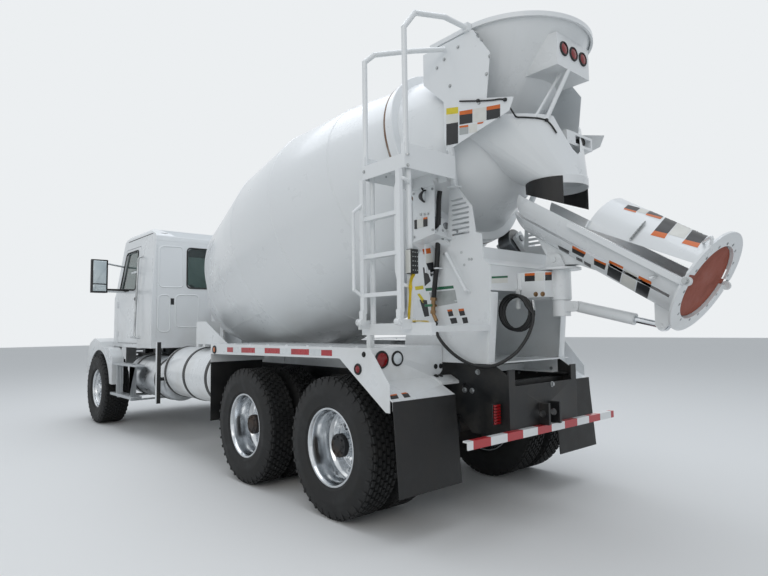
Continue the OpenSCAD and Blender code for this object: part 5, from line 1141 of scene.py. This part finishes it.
# from, to, radius, sides: nuts, body and outlet from the top down, then the stem
valve = [((-482, 544, 1664), (-478, 543, 1640), 0.026, 6),
         ((-478, 543, 1642), (-471, 541, 1560), 0.017, 24),
         ((-471, 541, 1562), (-470, 541, 1536), 0.023, 6),
         ((-470, 541, 1540), (-505, 540, 1476), 0.015, 24),
         ((-474, 507, 1600), (-474, 560, 1600), 0.010, 16)]
bm = bmesh.new()
for start, end, r, steps in valve:
    addRod(bm, mm(*start), mm(*end), r, steps=steps)
closeAndTurn(bm)
finish(bm, "waterValve", brass, slotName="bare_steel", bevel=0.001)
boxPiece("valveHandle", filmFinish["green"], [((-482, 556, 1592), (-400, 566, 1612))],
         slotName="bare_steel", bevel=0.004)

pendant = {"low": (-905, 1120, 1785), "high": (-845, 1190, 1950), "rows": 5, "columns": 3}
(x0, y0, z0), (x1, y1, z1) = pendant["low"], pendant["high"]
boxPiece("pendantBox", moulded, [((x0, y0, z0), (x1 - 6, y1 - 4, z1))], bevel=0.006)
boxPiece("pendantSide", filmFinish["pale"], [((x0 + 8, y1 - 6, z0 + 4), (x1 - 4, y1 + 1, z1 - 6))],
         bevel=0.004)
bm = bmesh.new()
for row in range(pendant["rows"]):
    for column in range(pendant["columns"]):
        spot = mm(x0, y0 + 13 + 20 * column, z0 + 22 + 30 * row)
        addRod(bm, spot, spot - Vector((0.004, 0, 0)), 0.0042, 0.0034, 16)
finish(bm, "pendantButtons", filmFinish["grey"], bevel=0.001)
strap = {"thick": 0.003, "wide": 0.026, "turns": (0, 90, 90), "lines": [
    [(-880, 1140, 1788), (-884, 1178, 1740), (-884, 1180, 1680), (-874, 1178, 1600), (-860, 1176, 1500),
     (-850, 1172, 1467)],
    [(-800, 1150, 1463), (-850, 1152, 1466), (-930, 1148, 1470), (-1010, 1152, 1464)],
    [(-812, 1144, 1470), (-880, 1158, 1474), (-950, 1140, 1475), (-1000, 1146, 1470)]]}
bm = bmesh.new()
for degrees, line in zip(strap["turns"], strap["lines"]):
    path = rounded([mm(*p) for p in line], 0.05)
    turn = Matrix.Rotation(math.radians(degrees), 4, "Z")
    for a, b in zip(path, path[1:]):
        place, length = aim(a, b)
        size = Matrix.Diagonal((strap["thick"], strap["wide"], length * 1.06, 1))
        bmesh.ops.create_cube(bm, size=1, matrix=place @ turn @ size)
finish(bm, "pendantStrap", yellowWeb)

handle = [(-868, 1160, 2400), (-880, 1222, 2424), (-826, 1222, 2424), (-800, 1222, 2370),
          (-797, 1222, 1800), (-826, 1222, 1730), (-868, 1222, 1710), (-864, 1160, 1700)]
tube("legHandle", [mm(*p) for p in handle], 0.012, enamel, bend=0.06, steps=4)
workLamp = {"at": (-560, 700, 2432), "tilt": -98,
            "body": [(0.0, -0.045), (0.030, -0.040), (0.044, -0.012), (0.050, 0.0), (0.050, 0.014),
                     (0.042, 0.016), (0.040, 0.004), (0.0, 0.004)],
            "lens": [(0.0, 0.012), (0.020, 0.011), (0.036, 0.008), (0.0405, 0.004), (0.0, 0.003)]}
place = placed(workLamp["at"], workLamp["tilt"], "Y")
bm = bmesh.new()
spun(bm, workLamp["body"], place, 40)
addRod(bm, mm(-545, 700, 2480), mm(-545, 720, 2500), 0.008, steps=12)
closeAndTurn(bm)
finish(bm, "workLampBody", moulded, bevel=0.001)
turnedPiece("workLampLens", clearLens, [workLamp["lens"]], place, 40, slotName="red_lens")
# from, to, radius, end radius, sides: two upright levers with their knobs, then a level one
levers = [((-760, -70, 1828), (-752, -70, 1915), 0.007, 0.007, 12),
          ((-752, -70, 1900), (-750, -70, 1935), 0.015, 0.012, 20),
          ((-760, 40, 1828), (-752, 40, 1915), 0.007, 0.007, 12),
          ((-752, 40, 1900), (-750, 40, 1935), 0.015, 0.012, 20),
          ((-752, 40, 1870), (-900, 40, 1866), 0.006, 0.006, 12),
          ((-890, 40, 1866), (-935, 40, 1866), 0.014, 0.018, 20)]
bm = bmesh.new()
for start, end, r, r2, steps in levers:
    addRod(bm, mm(*start), mm(*end), r, r2, steps)
addBox(bm, (-790, -110, 1826), (-730, 80, 1836))
finish(bm, "levers", moulded, bevel=0.001)

# Plates that close the pedestal: the hung one under the platform and its flange, then the low rear sheet in
# three bends
plates = [[(-436, 706, 2496), (-664, 706, 2496), (-658, 706, 2134), (-433, 706, 2094)],
          [(-658, 706, 2136), (-433, 706, 2096), (-433, 508, 2072), (-658, 508, 2112)],
          [(-951, 500, 1925), (-951, -500, 1925), (-948, -500, 2008), (-948, 500, 2008)],
          [(-1006, 500, 1876), (-1006, -500, 1876), (-951, -500, 1926), (-951, 500, 1926)],
          [(-947.6, 499.6, 2008.4), (-947.6, -499.6, 2008.4), (-915, -499.6, 2014), (-915, 499.6, 2014)]]
bm = bmesh.new()
for corners in plates:
    addSheet(bm, corners)
finish(bm, "closingPlates", enamel, slotName="white_paint")
# on the hung plate: x and z of two corners each
hungPanels = {"black": [(-477, 2192, -452, 2262), (-588, 2196, -553, 2252)],
              "pale": [(-548, 2196, -482, 2262)], "orange": [(-588, 2252, -553, 2266)]}
for colour, spots in hungPanels.items():
    boxPiece(f"panel_{colour}_hung", filmFinish[colour],
             [((x0, 706, z0), (x1, 713.2, z1)) for x0, z0, x1, z1 in spots], slotName="white_paint")
hungBolts = [(-520, 2296), (-560, 2290), (-598, 2288), (-446, 2470), (-650, 2470), (-446, 2130),
             (-646, 2160)]
boltPiece("bolts_hung", zincSteel, [(mm(x, 712, z), (0, 1, 0), 0.012, 0.005) for x, z in hungBolts],
          slotName="bare_steel")

# Hopper: the last of its wall, up to the rim's band
hopper = {"back": -920, "front": -560, "half": 590, "spout": (-720, 2950, 230), "rim": 3660, "low": 3600,
          "wall": 6, "roundSteps": 64, "frontSteps": 33}


def hopperRing(bm, height, inset):
    # the funnel's section at a height: a half circle behind, straight sides and a flat front
    share = (hopper["rim"] - height) / (hopper["rim"] - hopper["spout"][1])
    spots = []
    for k in range(hopper["roundSteps"] + hopper["frontSteps"]):
        past = k - hopper["roundSteps"]
        if past <= 0:
            turn = math.radians(90 + 180 * k / hopper["roundSteps"])
            at = Vector((hopper["back"], 0)) + hopper["half"] * Vector((math.cos(turn), math.sin(turn)))
        else:
            turn = math.radians(270 + 180 * past / hopper["frontSteps"])
            at = Vector((hopper["front"], hopper["half"] * (-1 if 2 * past < hopper["frontSteps"] else 1)))
        near = Vector((hopper["spout"][0], 0)) + hopper["spout"][2] * Vector((math.cos(turn),
                                                                              math.sin(turn)))
        place = at.lerp(near, share) - inset * Vector((math.cos(turn), math.sin(turn)))
        spots.append(bm.verts.new(mm(place.x, place.y, height)))
    return [bm.edges.new((a, b)) for a, b in zip(spots, spots[1:] + spots[:1])]


bm = bmesh.new()
outline = [(hopper["low"], 0), (hopper["rim"], 0), (hopper["rim"], hopper["wall"]),
           (hopper["low"], hopper["wall"])]
rings = [hopperRing(bm, height, inset) for height, inset in outline]
for first, second in zip(rings, rings[1:] + rings[:1]):
    bmesh.ops.bridge_loops(bm, edges=first + second)
closeAndTurn(bm)
finish(bm, "hopperLip", enamel, slotName="white_paint")

# Collector: the camera's cable along its edge, with clips, the struts under the lamp box, and the camera
cable = {"radius": 0.006, "plateY": 627, "clips": (2, 6, 11),
         "edge": [(459.6, 101.2), (470.0, 101.0), (478.0, 100.8), (486.0, 100.6), (494.0, 99.9),
                  (500.0, 98.9), (505.0, 99.6)],
         "cone": [(516.0, 117.5), (523.0, 117.5), (530.0, 118.0), (538.0, 118.5), (546.0, 120.5),
                  (551.0, 125.5), (556.0, 133.5)]}
line = [atPlane(p, 1, cable["plateY"]) for p in cable["edge"]]
line += [spot + normal * 0.007 for spot, normal in (meet("collector", p) for p in cable["cone"])]
tube("cameraCable", line, cable["radius"], hoseRubber, bend=0.02, steps=2)
bm = bmesh.new()
for k in cable["clips"]:
    bmesh.ops.create_cube(bm, size=0.022, matrix=Matrix.Translation(line[k]))
finish(bm, "cableClips", moulded, bevel=0.004)
bm = bmesh.new()
for start, end, r in (((568.5, 70.0), (546.0, 120.0), 0.016), ((560.0, 74.0), (534.0, 119.0), 0.010)):
    addRod(bm, meet("charge_hopper", start)[0], meet("collector", end)[0], r, steps=16)
finish(bm, "hopperStruts", enamel, slotName="white_paint")
turnedPiece("cameraEye", moulded, [[(0.0, 0.0), (0.034, 0.0), (0.034, 0.050), (0.026, 0.056),
                                    (0.024, 0.050),
                                    (0.0, 0.052)]], placed((-1345, -170, 2820), -90, "Y"), 32)

# Chutes: grab handles, a keeper chain, bolts round the flange and at the hinge
print("chutes")


def gripOn(name, node, first, second, reach, radius):
    (a, na), (b, nb) = meet(node, first), meet(node, second)
    tube(name, [a, a + na * reach, b + nb * reach, b], radius, enamel, bodyOf[node], 0.05, 4)


gripOn("chuteGrip", "chute", (656.1, 276.4), (648.5, 304.5), 0.070, 0.010)
gripOn("foldGrip", "fold_chute", (722.0, 231.0), (711.2, 243.6), 0.060, 0.009)
keeper = {"from": (644.7, 223.3), "to": (631.3, 239.5), "links": 12, "wire": 0.0028, "radius": 0.010,
          "stretch": (1.5, 0.85)}
bm = bmesh.new()
spun(bm, [(keeper["radius"] + keeper["wire"] * math.cos(t * math.tau / 6),
           keeper["wire"] * math.sin(t * math.tau / 6))
          for t in range(6)], Matrix(), 16)
link = meshOf(bm, "link")
chain = [meet("fold_chute", Vector(keeper["from"]).lerp(Vector(keeper["to"]), k / keeper["links"]))
         for k in range(keeper["links"] + 1)]
bm = bmesh.new()
for k, ((a, na), (b, _)) in enumerate(zip(chain, chain[1:])):
    # every other link stands on edge
    way = (b - a).normalized()
    side = way.cross(na).normalized()
    basis = Matrix((way, side, na) if k % 2 else (way, na, -side)).transposed().to_4x4()
    size = Matrix.Diagonal((*keeper["stretch"], 1, 1))
    addCopy(bm, link, Matrix.Translation((a + b) / 2 + na * 0.008) @ basis @ size)
bmesh.ops.recalc_face_normals(bm, faces=bm.faces)
finish(bm, "keeperChain", zincSteel, "fold_chute", "bare_steel", angle=40)
chutePlace = (Matrix.Translation(mm(-1270, 0, 2300)) @ Matrix.Rotation(math.pi, 4, "Z")
              @ Matrix.Rotation(math.radians(32), 4, "Y"))
chuteTurn = chutePlace.to_3x3()
flange = {"along": 1.1752, "radius": 0.266, "pinAlong": 1.180, "pinOut": 0.336, "turns": {
    "chute": (195, 215, 235, 255, 285, 305, 325, 345), "fold_chute": (15, 35, 60, 80, 100, 120, 145, 165)}}
for node, turns in flange["turns"].items():
    bolts = [(chutePlace @ Vector((flange["along"], flange["radius"] * math.cos(turn),
                                   flange["radius"] * math.sin(turn))),
              chuteTurn @ Vector((1, 0, 0)), 0.012,
              0.0044) for turn in (math.radians(degrees) for degrees in turns)]
    if node == "chute":
        # the heads of the hinge's pins
        bolts += [(chutePlace @ Vector((flange["pinAlong"], side * flange["pinOut"], 0)),
                   chuteTurn @ Vector((0, side, 0)), 0.026, 0.016) for side in (1, -1)]
    boltPiece("flangeBolts_" + node, zincSteel, bolts, body=bodyOf[node], slotName="bare_steel")
